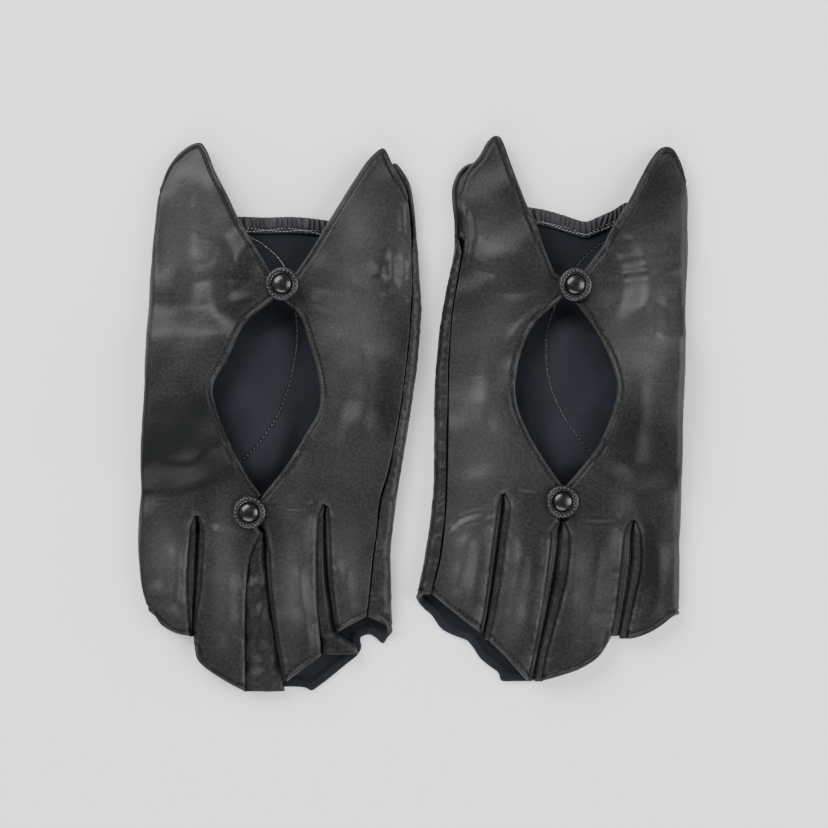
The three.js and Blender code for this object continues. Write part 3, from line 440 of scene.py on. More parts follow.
def smooth_line(points, step=0.6):
    """A rounded line through the points, with points a step apart."""
    p = np.array(points, float)
    if len(p) == 2:
        n = max(int(np.linalg.norm(p[1] - p[0]) / step), 1)
        return p[0] + (p[1] - p[0]) * np.linspace(0, 1, n + 1)[:, None]
    ends = np.vstack([2 * p[0] - p[1], p, 2 * p[-1] - p[-2]])
    line = []
    for i in range(1, len(ends) - 2):
        a, b, c, d = ends[i - 1 : i + 3]
        knots = [0.0]
        for s, e in ((a, b), (b, c), (c, d)):
            knots.append(knots[-1] + max(np.linalg.norm(e - s), 1e-6) ** 0.5)
        n = max(int(np.linalg.norm(c - b) / step), 1)
        t = np.linspace(knots[1], knots[2], n + 1)[:-1, None]

        def between(p0, p1, t0, t1, t=t):
            return p0 + (p1 - p0) * (t - t0) / (t1 - t0)

        ab, bc, cd = (between(a, b, knots[0], knots[1]), between(b, c, knots[1], knots[2]),
                      between(c, d, knots[2], knots[3]))
        abc, bcd = between(ab, bc, knots[0], knots[2]), between(bc, cd, knots[1], knots[3])
        line.append(between(abc, bcd, knots[1], knots[2]))
    return np.vstack(line + [p[-1:]])


def even_line(points, step, closed=False):
    """The same line with points an even step apart, its ends kept."""
    p = np.vstack([points, points[:1]]) if closed else np.asarray(points, float)
    along = np.concatenate([[0], np.cumsum(np.linalg.norm(np.diff(p, axis=0), axis=1))])
    n = max(int(round(along[-1] / step)), 2)
    at = np.linspace(0, along[-1], n + 1)
    line = np.stack([np.interp(at, along, p[:, k]) for k in range(p.shape[1])], axis=1)
    return line[:-1] if closed else line


def distance(points, line, closed=False):
    """Distance from each point to a line, and how far along the line its nearest point is, 0 to 1."""
    a = line if closed else line[:-1]
    b = np.roll(line, -1, axis=0) if closed else line[1:]
    d = b - a
    size = np.maximum((d**2).sum(1), 1e-12)
    along = np.concatenate([[0], np.cumsum(np.sqrt(size))])
    best = np.empty(len(points))
    where = np.empty(len(points))
    for start in range(0, len(points), 3000):
        p = points[start : start + 3000, None, :]
        t = np.clip(((p - a) * d).sum(2) / size, 0, 1)
        off = np.linalg.norm(p - (a + d * t[:, :, None]), axis=2)
        near = off.argmin(1)
        rows = np.arange(len(near))
        best[start : start + 3000] = off[rows, near]
        where[start : start + 3000] = (along[near] + t[rows, near] * np.sqrt(size[near])) / along[-1]
    return best, where


def soft_noise(u, v, size, seed, across=1.0):
    """A smooth random field with features about size wide, drawn out across the hand by across."""
    rng = np.random.default_rng(seed)
    waves = 22
    angle = rng.uniform(0, 2 * np.pi, waves)
    wave = 2 * np.pi / (size * rng.uniform(0.75, 1.9, waves))
    phase = rng.uniform(0, 2 * np.pi, waves)
    total = np.zeros_like(u)
    for a, w, s in zip(angle, wave, phase):
        total += np.cos(w * (np.cos(a) * u / across + np.sin(a) * v) + s)
    return total * math.sqrt(2 / waves)


# ---------------------------------------------------------------- the hand a pattern is laid over


class Hand:
    """One glove's form: where its pattern lies on the table and how high the leather stands."""

    def __init__(self, name):
        self.name = name
        self.pattern = PATTERNS[name]
        self.side = self.pattern["side"]
        low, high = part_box(f"{name}_knuckle_ring")
        middle = (low + high) / 2 / MM
        rivet_u, rivet_v = self.pattern["rivet"]
        self.centre = middle.x - self.side * rivet_u
        self.along = middle.y - rivet_v
        self.seed = SEEDS[name]
        self.heights = np.arange(-110.0, 110.5, 1.0)
        self.index_table = self.edge_table(self.pattern["index_edge"])
        self.little_table = self.edge_table(self.pattern["little_edge"])
        self.slits = [smooth_line(self.pattern[k]) for k in
                      ("im_index", "im_middle", "mr_middle", "mr_ring", "rl_ring", "rl_little")]
        self.crease_lines = [(smooth_line(points, 1.0), width, height)
                             for points, width, height in self.pattern["creases"]]

    def edge_table(self, knots):
        v, u = np.array(knots[::-1], float).T
        raw = np.interp(self.heights, v, u)
        kernel = np.exp(-np.linspace(-2, 2, 17) ** 2)
        padded = np.pad(raw, 8, mode="edge")
        return np.convolve(padded, kernel / kernel.sum(), mode="valid")

    def index(self, v):
        return np.interp(v, self.heights, self.index_table)

    def little(self, v):
        return np.interp(v, self.heights, self.little_table)

    def under(self, u, v):
        """Underside of the palm: level on the table, raised where the thumb lies under it."""
        far = THUMB_ROOT[0] + THUMB_LENGTH + LIFT_MARGIN
        low = THUMB_ROOT[1] + THUMB_LEAN - THUMB_TIP_WIDTH / 2 - LIFT_MARGIN
        high = THUMB_ROOT[1] + THUMB_ROOT_WIDTH / 2 + LIFT_MARGIN
        rows = ease((v - low + LIFT_FALL) / LIFT_FALL) * ease((high + LIFT_FALL - v) / LIFT_FALL)
        return (THUMB_HEIGHT + THUMB_CLEARANCE) * ease((far + LIFT_FALL - u) / LIFT_FALL) * rows

    def crowned(self, u, v):
        index, little = self.index(v), self.little(v)
        share = np.clip(np.abs(u - (index + little) / 2) / ((little - index) / 2), 0, 1)
        return self.under(u, v) + SIDE_HEIGHT + CROWN * (1 - share**2)

    def near(self, point, u, v):
        return ease(1 - (np.hypot(u - point[0], v - point[1]) - LEVEL_RADIUS) / LEVEL_FALL)

    def over(self, u, v):
        """Top of the back, before any wrinkle."""
        height = self.crowned(u, v)
        for point in (self.pattern["snap"], self.pattern["rivet"]):
            level = self.crowned(np.float64(point[0]), np.float64(point[1]))
            height = mix(height, level, self.near(point, u, v))
        return height

    def slack(self, u, v):
        """How much the back sinks at the finger ends and at the tips of the wrist points."""
        deep, start, run = FINGER_SINK
        high, top, rise = POINT_SINK
        return deep * ease((start - v) / run) + high * ease((v - top) / rise)

    def painted_sheen_and_shade(self, u, v):
        """Broad areas painted paler, a painted highlight, or darker, a painted shade, than elsewhere."""
        tone = np.zeros(len(u))
        for at_u, at_v, across, along, strength in self.pattern["painted_sheen_and_shade"]:
            tone += 1.3 * strength * np.exp(-(((u - at_u) / across) ** 2) - ((v - at_v) / along) ** 2)
        return tone

    def raised(self, u, v):
        return FLAP_RISE * self.near(self.pattern["snap"], u, v)

    def relief(self, u, v):
        """Wrinkles, creases and finger roundness of the back, as a height above its smooth form."""
        height = 0.6 * soft_noise(u, v, 30, self.seed) + 0.16 * soft_noise(u, v, 11, self.seed + 1, 1.5)
        lines = soft_noise(u, v, 15, self.seed + 2, 2.4)
        patchy = ease(soft_noise(u, v, 36, self.seed + 3) * 0.6 + 0.5)
        height -= 0.16 * bump(lines, 0.22) * patchy
        fine = soft_noise(u, v, 7, self.seed + 4, 2.8)
        height -= 0.07 * bump(fine, 0.3) * ease(soft_noise(u, v, 28, self.seed + 5) * 0.7 + 0.5)
        points = np.stack([u, v], axis=1)
        for line, width, size in self.crease_lines:
            near = (np.abs(v - line[:, 1].mean()) < np.ptp(line[:, 1]) / 2 + 4 * width) & (
                np.abs(u - line[:, 0].mean()) < np.ptp(line[:, 0]) / 2 + 4 * width)
            if near.any():
                off, where = distance(points[near], line)
                fading = ease(where * 4 + 0.15) * ease((1 - where) * 4 + 0.15)
                height[near] += 1.4 * size * bump(off, width) * fading
        for slit in self.slits:
            near = v < slit[0, 1] + 8
            if near.any():
                off, where = distance(points[near], slit)
                height[near] -= 1.25 * bump(off, 3.4) * ease(where * 8)
        quiet = np.ones_like(height)
        for point in (self.pattern["snap"], self.pattern["rivet"]):
            quiet *= 1 - 0.85 * ease(1.6 - np.hypot(u - point[0], v - point[1]) / 9)
        return height * quiet

    def around(self, p, v, inset, edge, top):
        """Lays flat leather over the glove and round a side fold. p is the flat pattern's u."""
        index_side = edge == "index"
        sign = 1.0 if index_side else -1.0
        start = (self.index(v) if index_side else self.little(v)) + sign * FOLD_RADIUS
        q = sign * (start - p)
        low, high = self.under(start, v), self.over(start, v) - self.slack(start, v)
        share = np.clip(q / FOLD_LENGTH, 0, 1)
        angle = (0.5 - share) * np.pi * (1 if top else -1)
        reach = (FOLD_RADIUS - inset) * np.cos(angle)
        fold_u = start - sign * reach
        fold_z = (low + high) / 2 + ((high - low) / 2 - inset) * np.sin(angle)
        beyond_u = start + sign * (q - FOLD_LENGTH)
        u = np.where(q <= 0, p, np.where(q >= FOLD_LENGTH, beyond_u, fold_u))
        upper = self.over(u, v) - self.slack(u, v) - inset
        lower = self.under(u, v) + inset
        flat, far = (upper, lower) if top else (lower, upper)
        return u, np.where(q <= 0, flat, np.where(q >= FOLD_LENGTH, far, fold_z))

    def place(self, u, v, z):
        """Pattern millimetres to metres in the frame."""
        return np.stack([self.centre + self.side * u, self.along + v, z], axis=-1) * MM

    def point(self, u, v, z):
        return Vector(self.place(np.float64(u), np.float64(v), np.float64(z)))


HAND = {name: Hand(name) for name in HANDS}


def back_place(hand, edge, outer_flap):
    """Where the back's leather goes: a function of flat pattern points and depth below the surface."""
    def at(points, inset):
        p, v = points.T
        folded = hand.index(v) + FOLD_RADIUS - p if edge == "index" else p - hand.little(v) + FOLD_RADIUS
        u, z = hand.around(p, v, inset - hand.relief(p, v) * (1 - 0.7 * ease(folded / 4)), edge, True)
        return hand.place(u, v, np.maximum(z + (hand.raised(u, v) if outer_flap else 0), TABLE_LIFT))
    return at


def palm_place(hand):
    """The same for the palm, which goes round the little side and is puckered along its side seam."""
    def at(points, inset):
        p, v = points.T
        soft = 0.12 * soft_noise(p, v, 24, hand.seed + 7)
        start = hand.little(v) - FOLD_RADIUS
        q = p - start
        strip = ease((q - 5) / 3)
        pucker = 0.12 * np.sin(2 * np.pi * (v + 1.4 * soft_noise(p, v, 9, hand.seed + 8)) / 3.6)
        pucker += 0.12 * soft_noise(p, v, 4.2, hand.seed + 9, 2.2)
        u, z = hand.around(p, v, inset - 0.3 * soft * strip - pucker * strip, "little", False)
        return hand.place(u, v, np.maximum(z, TABLE_LIFT))
    return at


# ---------------------------------------------------------------- meshes


def new_piece(name, verts, faces, materials, face_slots=None, uvs=None):
    """A finished mesh object at the origin, its faces turned outward."""
    mesh = bpy.data.meshes.new(name)
    mesh.from_pydata([tuple(p) for p in verts], [], [tuple(f) for f in faces])
    if uvs is not None:
        layer = mesh.uv_layers.new(name="pattern")
        at = np.zeros(len(mesh.loops), np.int32)
        mesh.loops.foreach_get("vertex_index", at)
        layer.data.foreach_set("uv", np.asarray(uvs, np.float32)[at].ravel())
    if face_slots is not None:
        mesh.polygons.foreach_set("material_index", np.asarray(face_slots, np.int32))
    for material in materials:
        mesh.materials.append(material)
    work = bmesh.new()
    work.from_mesh(mesh)
    bmesh.ops.recalc_face_normals(work, faces=work.faces)
    work.to_mesh(mesh)
    work.free()
    mesh.polygons.foreach_set("use_smooth", np.ones(len(mesh.polygons), bool))
    mesh.update()
    piece = bpy.data.objects.new(name, mesh)
    bpy.context.scene.collection.objects.link(piece)
    return piece


def inward(line, offset, closed=True):
    """The line moved to its left by offset."""
    if closed:
        ahead, behind = np.roll(line, -1, axis=0), np.roll(line, 1, axis=0)
    else:
        ahead, behind = np.vstack([line[1:], line[-1:]]), np.vstack([line[:1], line[:-1]])
    run = ahead - behind
    run /= np.maximum(np.linalg.norm(run, axis=1, keepdims=True), 1e-9)
    return line + offset * np.stack([-run[:, 1], run[:, 0]], axis=1)


def outline(parts):
    """A closed, even, anticlockwise outline from its parts, each a run of points."""
    runs = [even_line(smooth_line(part), OUTLINE_STEP) for part in parts]
    points = [runs[0][0]]
    for run in runs:
        for point in run:
            if np.linalg.norm(point - points[-1]) > 0.3:
                points.append(point)
    if np.linalg.norm(points[0] - points[-1]) < 0.3:
        points.pop()
    loop = np.array(points)
    x, y = loop.T
    if (x * np.roll(y, -1) - np.roll(x, -1) * y).sum() < 0:
        loop = loop[::-1]
    return loop


def flat_mesh(loop, step):
    """Triangles that fill an outline: close rows along its edge, and an even net inside."""
    points = [loop]
    for offset in EDGE_ROWS:
        ring = inward(loop, offset)
        ring = ring[:: 1 if offset < 3 else 2]
        off, _ = distance(ring, loop, closed=True)
        points.append(ring[off > 0.96 * offset])
    low, high = loop.min(0), loop.max(0)
    rows = np.arange(low[1], high[1], step * ROW_HEIGHT)
    columns = np.arange(low[0], high[0], step)
    grid = np.array([(u + (i % 2) * step / 2, v) for i, v in enumerate(rows) for u in columns])
    off, _ = distance(grid, loop, closed=True)
    points.append(grid[off > NET_START])
    cloud = [Vector((float(a), float(b))) for a, b in np.vstack(points)]
    made, _, faces, *_ = delaunay_2d_cdt(cloud, [], [list(range(len(loop)))], 1, 1e-4)
    flat = np.array([tuple(p) for p in made])
    faces = np.array([f for f in faces if len(f) == 3])
    a, b, c = (flat[faces[:, k]] for k in range(3))
    area = (b[:, 0] - a[:, 0]) * (c[:, 1] - a[:, 1]) - (b[:, 1] - a[:, 1]) * (c[:, 0] - a[:, 0])
    return flat, faces[np.abs(area) > 1e-7]


def leather_sheet(name, loop, place, hems, seams, materials, thickness=None, hand=None):
    """A leather panel with rounded edges: hems are doubled and grooved by stitching, seams roll down."""
    size = sizes()
    leather = thickness or size.leather / MM
    loop = inward(loop, EDGE_ROWS[0])
    flat, faces = flat_mesh(loop, size.mesh_step / MM)
    off, _ = distance(flat, loop, closed=True)
    far = np.full(len(flat), 99.0)
    hem = np.minimum.reduce([distance(flat, line)[0] for line in hems] + [far])
    seam = np.minimum.reduce([distance(flat, line)[0] for line in seams] + [far])
    turning, stitch = size.hem_turning / MM, size.hem_stitch / MM
    full = leather * (1 + 0.75 * ease((turning + 0.35 - hem) / 0.7))
    half = full / 2
    share = np.clip(off / half, 0, 1)
    rounding = half * (1 - np.sqrt(np.maximum(1 - (1 - share) ** 2, 0)))
    top = rounding - 0.2 * bump(hem - 0.85, 0.55) + 0.32 * bump(hem - stitch, 0.33)
    top -= 0.12 * bump(hem - 2.7, 0.5)
    waver = soft_noise(flat[:, 0], flat[:, 1], 3.2, 5)
    top += 0.38 * ease((1.1 - seam) / 1.1) - (0.1 + 0.07 * waver) * bump(seam - 1.4, 0.7)
    top += 0.05 * waver * ease((3.2 - hem) / 2)
    low = full - rounding
    edge = off < 1e-3
    top[edge] = low[edge] = (half + 0.25 * ease((1.3 - seam) / 1.3))[edge]
    low = np.maximum(low, top)
    upper, lower = place(flat, top), place(flat, low)
    index = np.arange(len(flat))
    index[~edge] = np.arange((~edge).sum()) + len(flat)
    verts = np.vstack([upper, lower[~edge]])
    under = index[faces][:, ::-1]
    uvs = np.vstack([flat, flat[~edge]]) / 100
    slots = [0] * len(faces) + [1] * len(under)
    piece = new_piece(name, verts, np.vstack([faces, under]), materials, slots, uvs)
    # painted highlight on the rolled edges and seam ridges, painted shade in the groove under the stitching,
    # then the broad painted highlight and shade patches
    painted_light = 0.12 * bump(hem - 0.5, 0.45) - 0.6 * bump(hem - stitch, 0.45) + 0.2 * bump(seam - 1.2, 0.6)
    painted_light += hand.painted_sheen_and_shade(flat[:, 0], flat[:, 1]) if hand else 0
    set_painted_light(piece, np.concatenate([painted_light, painted_light[~edge]]))
    return piece


def set_painted_light(piece, amount):
    """Painted highlight, or painted shade where negative, at each point of the leather, for its material to
    read.
    """
    layer = piece.data.attributes.new("painted_light", "FLOAT", "POINT")
    layer.data.foreach_set("value", np.asarray(amount, np.float32))


def shell(name, outer, thickness, materials, closed_across=False):
    """A closed shell from a grid of outer points (along, across, 3) in metres, its flesh side inside."""
    rows, cols = outer.shape[:2]
    along = np.gradient(outer, axis=0)
    if closed_across:
        across = (np.roll(outer, -1, axis=1) - np.roll(outer, 1, axis=1)) / 2
    else:
        across = np.gradient(outer, axis=1)
    normal = np.cross(along, across)
    normal /= np.maximum(np.linalg.norm(normal, axis=2, keepdims=True), 1e-12)
    thick = np.broadcast_to(np.asarray(thickness, float), outer.shape[:2])[:, :, None]
    inner = outer - normal * thick
    verts = np.vstack([outer.reshape(-1, 3), inner.reshape(-1, 3)])
    count = rows * cols

    def at(i, j, layer):
        return layer * count + i * cols + j % cols

    faces, slots = [], []
    for i in range(rows - 1):
        for j in range(cols if closed_across else cols - 1):
            faces.append((at(i, j, 0), at(i + 1, j, 0), at(i + 1, j + 1, 0), at(i, j + 1, 0)))
            faces.append((at(i, j, 1), at(i, j + 1, 1), at(i + 1, j + 1, 1), at(i + 1, j, 1)))
            slots += [0, 1]
    for j in range(cols if closed_across else cols - 1):
        faces.append((at(0, j, 0), at(0, j + 1, 0), at(0, j + 1, 1), at(0, j, 1)))
        faces.append((at(rows - 1, j, 1), at(rows - 1, j + 1, 1), at(rows - 1, j + 1, 0), at(rows - 1, j, 0)))
        slots += [0, 0]
    if not closed_across:
        for i in range(rows - 1):
            faces.append((at(i, 0, 1), at(i + 1, 0, 1), at(i + 1, 0, 0), at(i, 0, 0)))
            last = cols - 1
            faces.append((at(i, last, 0), at(i + 1, last, 0), at(i + 1, last, 1), at(i, last, 1)))
            slots += [0, 0]
    s, t = np.meshgrid(np.arange(cols), np.arange(rows))
    uvs = np.stack([s, t], axis=2).reshape(-1, 2) * 0.01
    return new_piece(name, verts, faces, materials, slots, np.vstack([uvs, uvs]))


def lathe(name, profile, centre, materials, steps=72):
    """A turned part: profile is a closed loop of (radius, height) in mm, centre its base in metres."""
    rings = []
    for r, h in profile:
        turn = np.linspace(0, 2 * np.pi, steps, endpoint=False)
        rings.append(np.stack([r * np.cos(turn), r * np.sin(turn), np.full(steps, h)], axis=1) * MM)
    verts = np.vstack(rings) + np.array(centre)
    count = len(profile)
    faces = []
    for i in range(count):
        for j in range(steps):
            a, b = i * steps + j, i * steps + (j + 1) % steps
            c, d = ((i + 1) % count) * steps + (j + 1) % steps, ((i + 1) % count) * steps + j
            faces.append((a, b, c, d))
    piece = new_piece(name, verts, faces, materials)
    work = bmesh.new()
    work.from_mesh(piece.data)
    bmesh.ops.remove_doubles(work, verts=work.verts, dist=1e-7)
    bmesh.ops.recalc_face_normals(work, faces=work.faces)
    work.to_mesh(piece.data)
    work.free()
    return piece


def rounded_profile(corners, steps=3):
    """A lathe profile whose corners, given as (radius, height, rounding), are rounded off."""
    profile = []
    count = len(corners)
    for i, (r, h, turn) in enumerate(corners):
        here = np.array([r, h])
        if turn <= 0:
            profile.append(tuple(here))
            continue
        before = np.array(corners[i - 1][:2]) - here
        after = np.array(corners[(i + 1) % count][:2]) - here
        reach = min(turn, 0.45 * np.linalg.norm(before), 0.45 * np.linalg.norm(after))
        a = here + before / np.linalg.norm(before) * reach
        b = here + after / np.linalg.norm(after) * reach
        for k in range(steps + 1):
            t = k / steps
            profile.append(tuple((1 - t) ** 2 * a + 2 * t * (1 - t) * here + t * t * b))
    return profile


def blended(piece, hand, hinge, flap):
    """Bakes the piece where it lies. The bend to a wrist flap, past its fold line, is found but not used."""
    (ua, va), (ub, vb) = HINGES[hand.name][hinge]
    along = np.array([ub - ua, vb - va]) / math.hypot(ub - ua, vb - va)
    out = np.array([along[1], -along[0]]) * (1 if hinge == "index" else -1)
    start = np.array([ua, va]) - out * FLAP_CREASE[0]
    end = np.array([ua, va]) + out * FLAP_CREASE[1]
    height = hand.over(*map(np.float64, start))
    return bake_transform(piece, f"{hand.name}_glove", f"{hand.name}_{flap}", hand.point(*start, height),
                    hand.point(*end, height))


# ---------------------------------------------------------------- materials


class Shade:
    """A node material under construction: short calls that add and link nodes."""

    def __init__(self, name):
        self.material = bpy.data.materials.new(name)
        self.material.use_nodes = True
        self.tree = self.material.node_tree
        self.shader = self.tree.nodes["Principled BSDF"]

    def node(self, kind, inputs=None, **settings):
        made = self.tree.nodes.new(kind)
        for key, value in settings.items():
            setattr(made, key, value)
        for key, value in (inputs or {}).items():
            if isinstance(value, bpy.types.NodeSocket):
                self.tree.links.new(value, made.inputs[key])
            else:
                made.inputs[key].default_value = value
        return made

    def pattern(self):
        return self.node("ShaderNodeUVMap", uv_map="pattern").outputs[0]

    def place(self):
        return self.node("ShaderNodeTexCoord").outputs["Object"]

    def noise(self, at, scale, detail=2.0, roughness=0.5):
        return self.node("ShaderNodeTexNoise", {"Vector": at, "Scale": scale, "Detail": detail,
                                                "Roughness": roughness}).outputs[0]

    def cells(self, at, scale):
        return self.node("ShaderNodeTexVoronoi", {"Vector": at, "Scale": scale}).outputs["Distance"]

    def spread(self, value, low, high, to_low=0.0, to_high=1.0):
        return self.node("ShaderNodeMapRange", {"Value": value, "From Min": low, "From Max": high,
                                                "To Min": to_low, "To Max": to_high}, clamp=True).outputs[0]

    def sum(self, a, b, kind="ADD"):
        return self.node("ShaderNodeMath", {0: a, 1: b}, operation=kind).outputs[0]

    def attribute(self, name):
        return self.node("ShaderNodeAttribute", attribute_name=name).outputs["Fac"]

    def bumps(self, height, distance, strength):
        inputs = {"Height": height, "Distance": distance, "Strength": strength}
        return self.node("ShaderNodeBump", inputs).outputs[0]

    def finish(self, **values):
        for key, value in values.items():
            socket = self.shader.inputs[key.replace("_", " ")]
            if isinstance(value, bpy.types.NodeSocket):
                self.tree.links.new(value, socket)
            else:
                socket.default_value = value
        return self.material


def blended_mix(shade, share, a, b):
    mixed = shade.tree.nodes.new("ShaderNodeMix")
    mixed.data_type = "RGBA"
    shade.tree.links.new(share, mixed.inputs[0])
    for slot, value in ((6, a), (7, b)):
        if isinstance(value, bpy.types.NodeSocket):
            shade.tree.links.new(value, mixed.inputs[slot])
        else:
            mixed.inputs[slot].default_value = value
    return mixed.outputs[2]


def glove_leather(name, on_pattern):
    """Fine-grained black nappa, brownish grey in soft random patches, with painted highlight along its
    raised edges and in broad places, and painted shade in its stitch grooves and darker places.
    """
    shade = Shade(name)
    at = shade.pattern() if on_pattern else shade.place()
    unit = 1.0 if on_pattern else 10.0  # the pattern's unit is a decimetre, the frame's a metre
    patches = shade.spread(shade.noise(at, 3.2 * unit, 3.0, 0.55), 0.36, 0.68)
    speckle = shade.noise(at, 95 * unit, 3.0, 0.65)
    creases = shade.cells(at, 60 * unit)
    grain = shade.cells(at, 125 * unit)
    # paleness: random pale patches and grain speckle, plus each point's painted highlight and painted shade
    paleness = shade.sum(shade.sum(patches, 0.3, "MULTIPLY"), shade.attribute("painted_light"))
    paleness = shade.sum(paleness, shade.sum(shade.spread(speckle, 0.42, 0.72), 0.3, "MULTIPLY"))
    paleness = shade.spread(paleness, 0.0, 1.1)
    colour = blended_mix(shade, paleness, tuple(tones().leather), tuple(tones().pale_and_sheen))
    rough = shade.spread(shade.sum(speckle, shade.sum(paleness, -0.6, "MULTIPLY")), 0.0, 0.75, 0.4, 0.54)
    height = shade.sum(shade.sum(grain, 0.6, "MULTIPLY"), shade.sum(speckle, 0.9, "MULTIPLY"))
    height = shade.sum(height, shade.sum(creases, 0.25, "MULTIPLY"))
    normal = shade.bumps(height, 0.00008, 0.7)
    return shade.finish(Base_Color=colour, Roughness=rough, Normal=normal, Specular_IOR_Level=0.24)


def flesh_side(name, on_pattern):
    """The inside of the leather: a dense blue-black nap."""
    shade = Shade(name)
    at = shade.pattern() if on_pattern else shade.place()
    unit = 1.0 if on_pattern else 10.0
    nap = shade.noise(at, 210 * unit, 3.0, 0.7)
    clouds = shade.noise(at, 7 * unit, 3.0)
    dark = tuple(tones().lining)
    light = tuple(min(c * 2.1, 1) for c in dark[:3]) + (1,)
    colour = blended_mix(shade, shade.spread(shade.sum(nap, clouds), 0.7, 1.3), dark, light)
    return shade.finish(Base_Color=colour, Roughness=0.92, Specular_IOR_Level=0.2, Sheen_Weight=0.12,
                        Normal=shade.bumps(nap, 0.00012, 0.8))


def gathered_elastic(name):
    shade = Shade(name)
    at = shade.place()
    weave = shade.noise(at, 1500, 2.0, 0.6)
    dark = tuple(tones().elastic)
    light = tuple(min(c * 2.4, 1) for c in dark[:3]) + (1,)
    colour = blended_mix(shade, shade.spread(weave, 0.35, 0.7), dark, light)
    return shade.finish(Base_Color=colour, Roughness=0.72, Normal=shade.bumps(weave, 0.00008, 0.7))


def sewing_thread(name, tone):
    shade = Shade(name)
    twist = shade.noise(shade.place(), 3200, 2.0, 0.6)
    light = tuple(min(c * 1.7, 1) for c in tone[:3]) + (1,)
    colour = blended_mix(shade, shade.spread(twist, 0.35, 0.7), tuple(tone), light)
    return shade.finish(Base_Color=colour, Roughness=0.55, Normal=shade.bumps(twist, 0.00005, 0.6))


def enamelled(name, tone, roughness, metallic, coat):
    shade = Shade(name)
    at = shade.place()
    paleness = shade.noise(at, 900, 3.0, 0.6)
    light = tuple(min(c * 2.2 + 0.004, 1) for c in tone[:3]) + (1,)
    colour = blended_mix(shade, shade.spread(paleness, 0.5, 0.8), tuple(tone), light)
    rough = shade.spread(paleness, 0.3, 0.8, roughness * 0.8, roughness * 1.25)
    return shade.finish(Base_Color=colour, Roughness=rough, Metallic=metallic, Coat_Weight=coat,
                        Normal=shade.bumps(paleness, 0.00001, 0.3))


FINISHES = {}


def finish(name):
    """The named finish, made the first time a piece asks for it."""
    makers = {
        "glove_leather": lambda n: glove_leather(n, True),
        "gusset_leather": lambda n: glove_leather(n, False),
        "flesh_side": lambda n: flesh_side(n, True),
        "gusset_flesh_side": lambda n: flesh_side(n, False),
        "elastic": gathered_elastic,
        "thread": lambda n: sewing_thread(n, tones().thread),
        "seam_thread": lambda n: sewing_thread(n, tones().seam_thread),
        "elastic_thread": lambda n: sewing_thread(n, tones().elastic_thread),
        "cap_enamel": lambda n: enamelled(n, tones().cap, 0.34, 0.35, 0.2),
        "dome_gloss": lambda n: enamelled(n, tones().dome, 0.3, 0.0, 0.05),
        "snap_steel": lambda n: enamelled(n, tones().steel, 0.3, 1.0, 0.0),
    }
    if name not in FINISHES:
        FINISHES[name] = makers[name](name)
    return FINISHES[name]


def sheet_finishes():
    return [finish("glove_leather"), finish("flesh_side")]


def gusset_finishes():
    return [finish("gusset_leather"), finish("gusset_flesh_side")]


# ---------------------------------------------------------------- what repeats along a seam or a rim


def node_group(name, inputs):
    tree = bpy.data.node_groups.new(name, "GeometryNodeTree")
    tree.interface.new_socket("Geometry", in_out="INPUT", socket_type="NodeSocketGeometry")
    for label, kind, value in inputs:
        socket = tree.interface.new_socket(label, in_out="INPUT", socket_type=kind)
        if value is not None:
            socket.default_value = value
    tree.interface.new_socket("Geometry", in_out="OUTPUT", socket_type="NodeSocketGeometry")
    return tree, tree.nodes.new("NodeGroupInput"), tree.nodes.new("NodeGroupOutput")


def wired(tree, kind, links, **settings):
    node = tree.nodes.new(kind)
    for key, value in settings.items():
        setattr(node, key, value)
    for key, value in links.items():
        if isinstance(value, bpy.types.NodeSocket):
            tree.links.new(value, node.inputs[key])
        else:
            node.inputs[key].default_value = value
    return node


def close_tree(tree, given, taken, points, shape, turn, size):
    """The end of a tree: instances on the points, made real, smooth and given their material."""
    links = {"Points": points, "Instance": shape, "Scale": size}
    if turn is not None:
        links["Rotation"] = turn
    placed = wired(tree, "GeometryNodeInstanceOnPoints", links)
    real = wired(tree, "GeometryNodeRealizeInstances", {"Geometry": placed.outputs[0]})
    smooth = wired(tree, "GeometryNodeSetShadeSmooth", {"Geometry": real.outputs[0]})
    faced = wired(tree, "GeometryNodeSetMaterial", {"Geometry": smooth.outputs[0],
                                                    "Material": given.outputs["Finish"]})
    tree.links.new(faced.outputs[0], taken.inputs[0])


def stitch_row_tree():
    """Stitches along curves: one small rounded stitch at every pitch, lying along the seam."""
    if "Stitch row" in bpy.data.node_groups:
        return bpy.data.node_groups["Stitch row"]
    tree, given, taken = node_group("Stitch row", [
        ("Pitch", "NodeSocketFloat", 0.0016), ("Stitch length", "NodeSocketFloat", 0.0012),
        ("Thread", "NodeSocketFloat", 0.0004), ("Finish", "NodeSocketMaterial", None)])
    points = wired(tree, "GeometryNodeCurveToPoints", {"Curve": given.outputs[0],
                                                       "Length": given.outputs["Pitch"]}, mode="LENGTH")
    turn = wired(tree, "FunctionNodeAlignRotationToVector", {"Vector": points.outputs["Tangent"]}, axis="Z")
    ball = wired(tree, "GeometryNodeMeshUVSphere", {"Segments": 8, "Rings": 5, "Radius": 0.5})
    size = wired(tree, "ShaderNodeCombineXYZ", {"X": given.outputs["Thread"], "Y": given.outputs["Thread"],
                                                "Z": given.outputs["Stitch length"]})
    close_tree(tree, given, taken, points.outputs[0], ball.outputs[0], turn.outputs[0], size.outputs[0])
    return tree


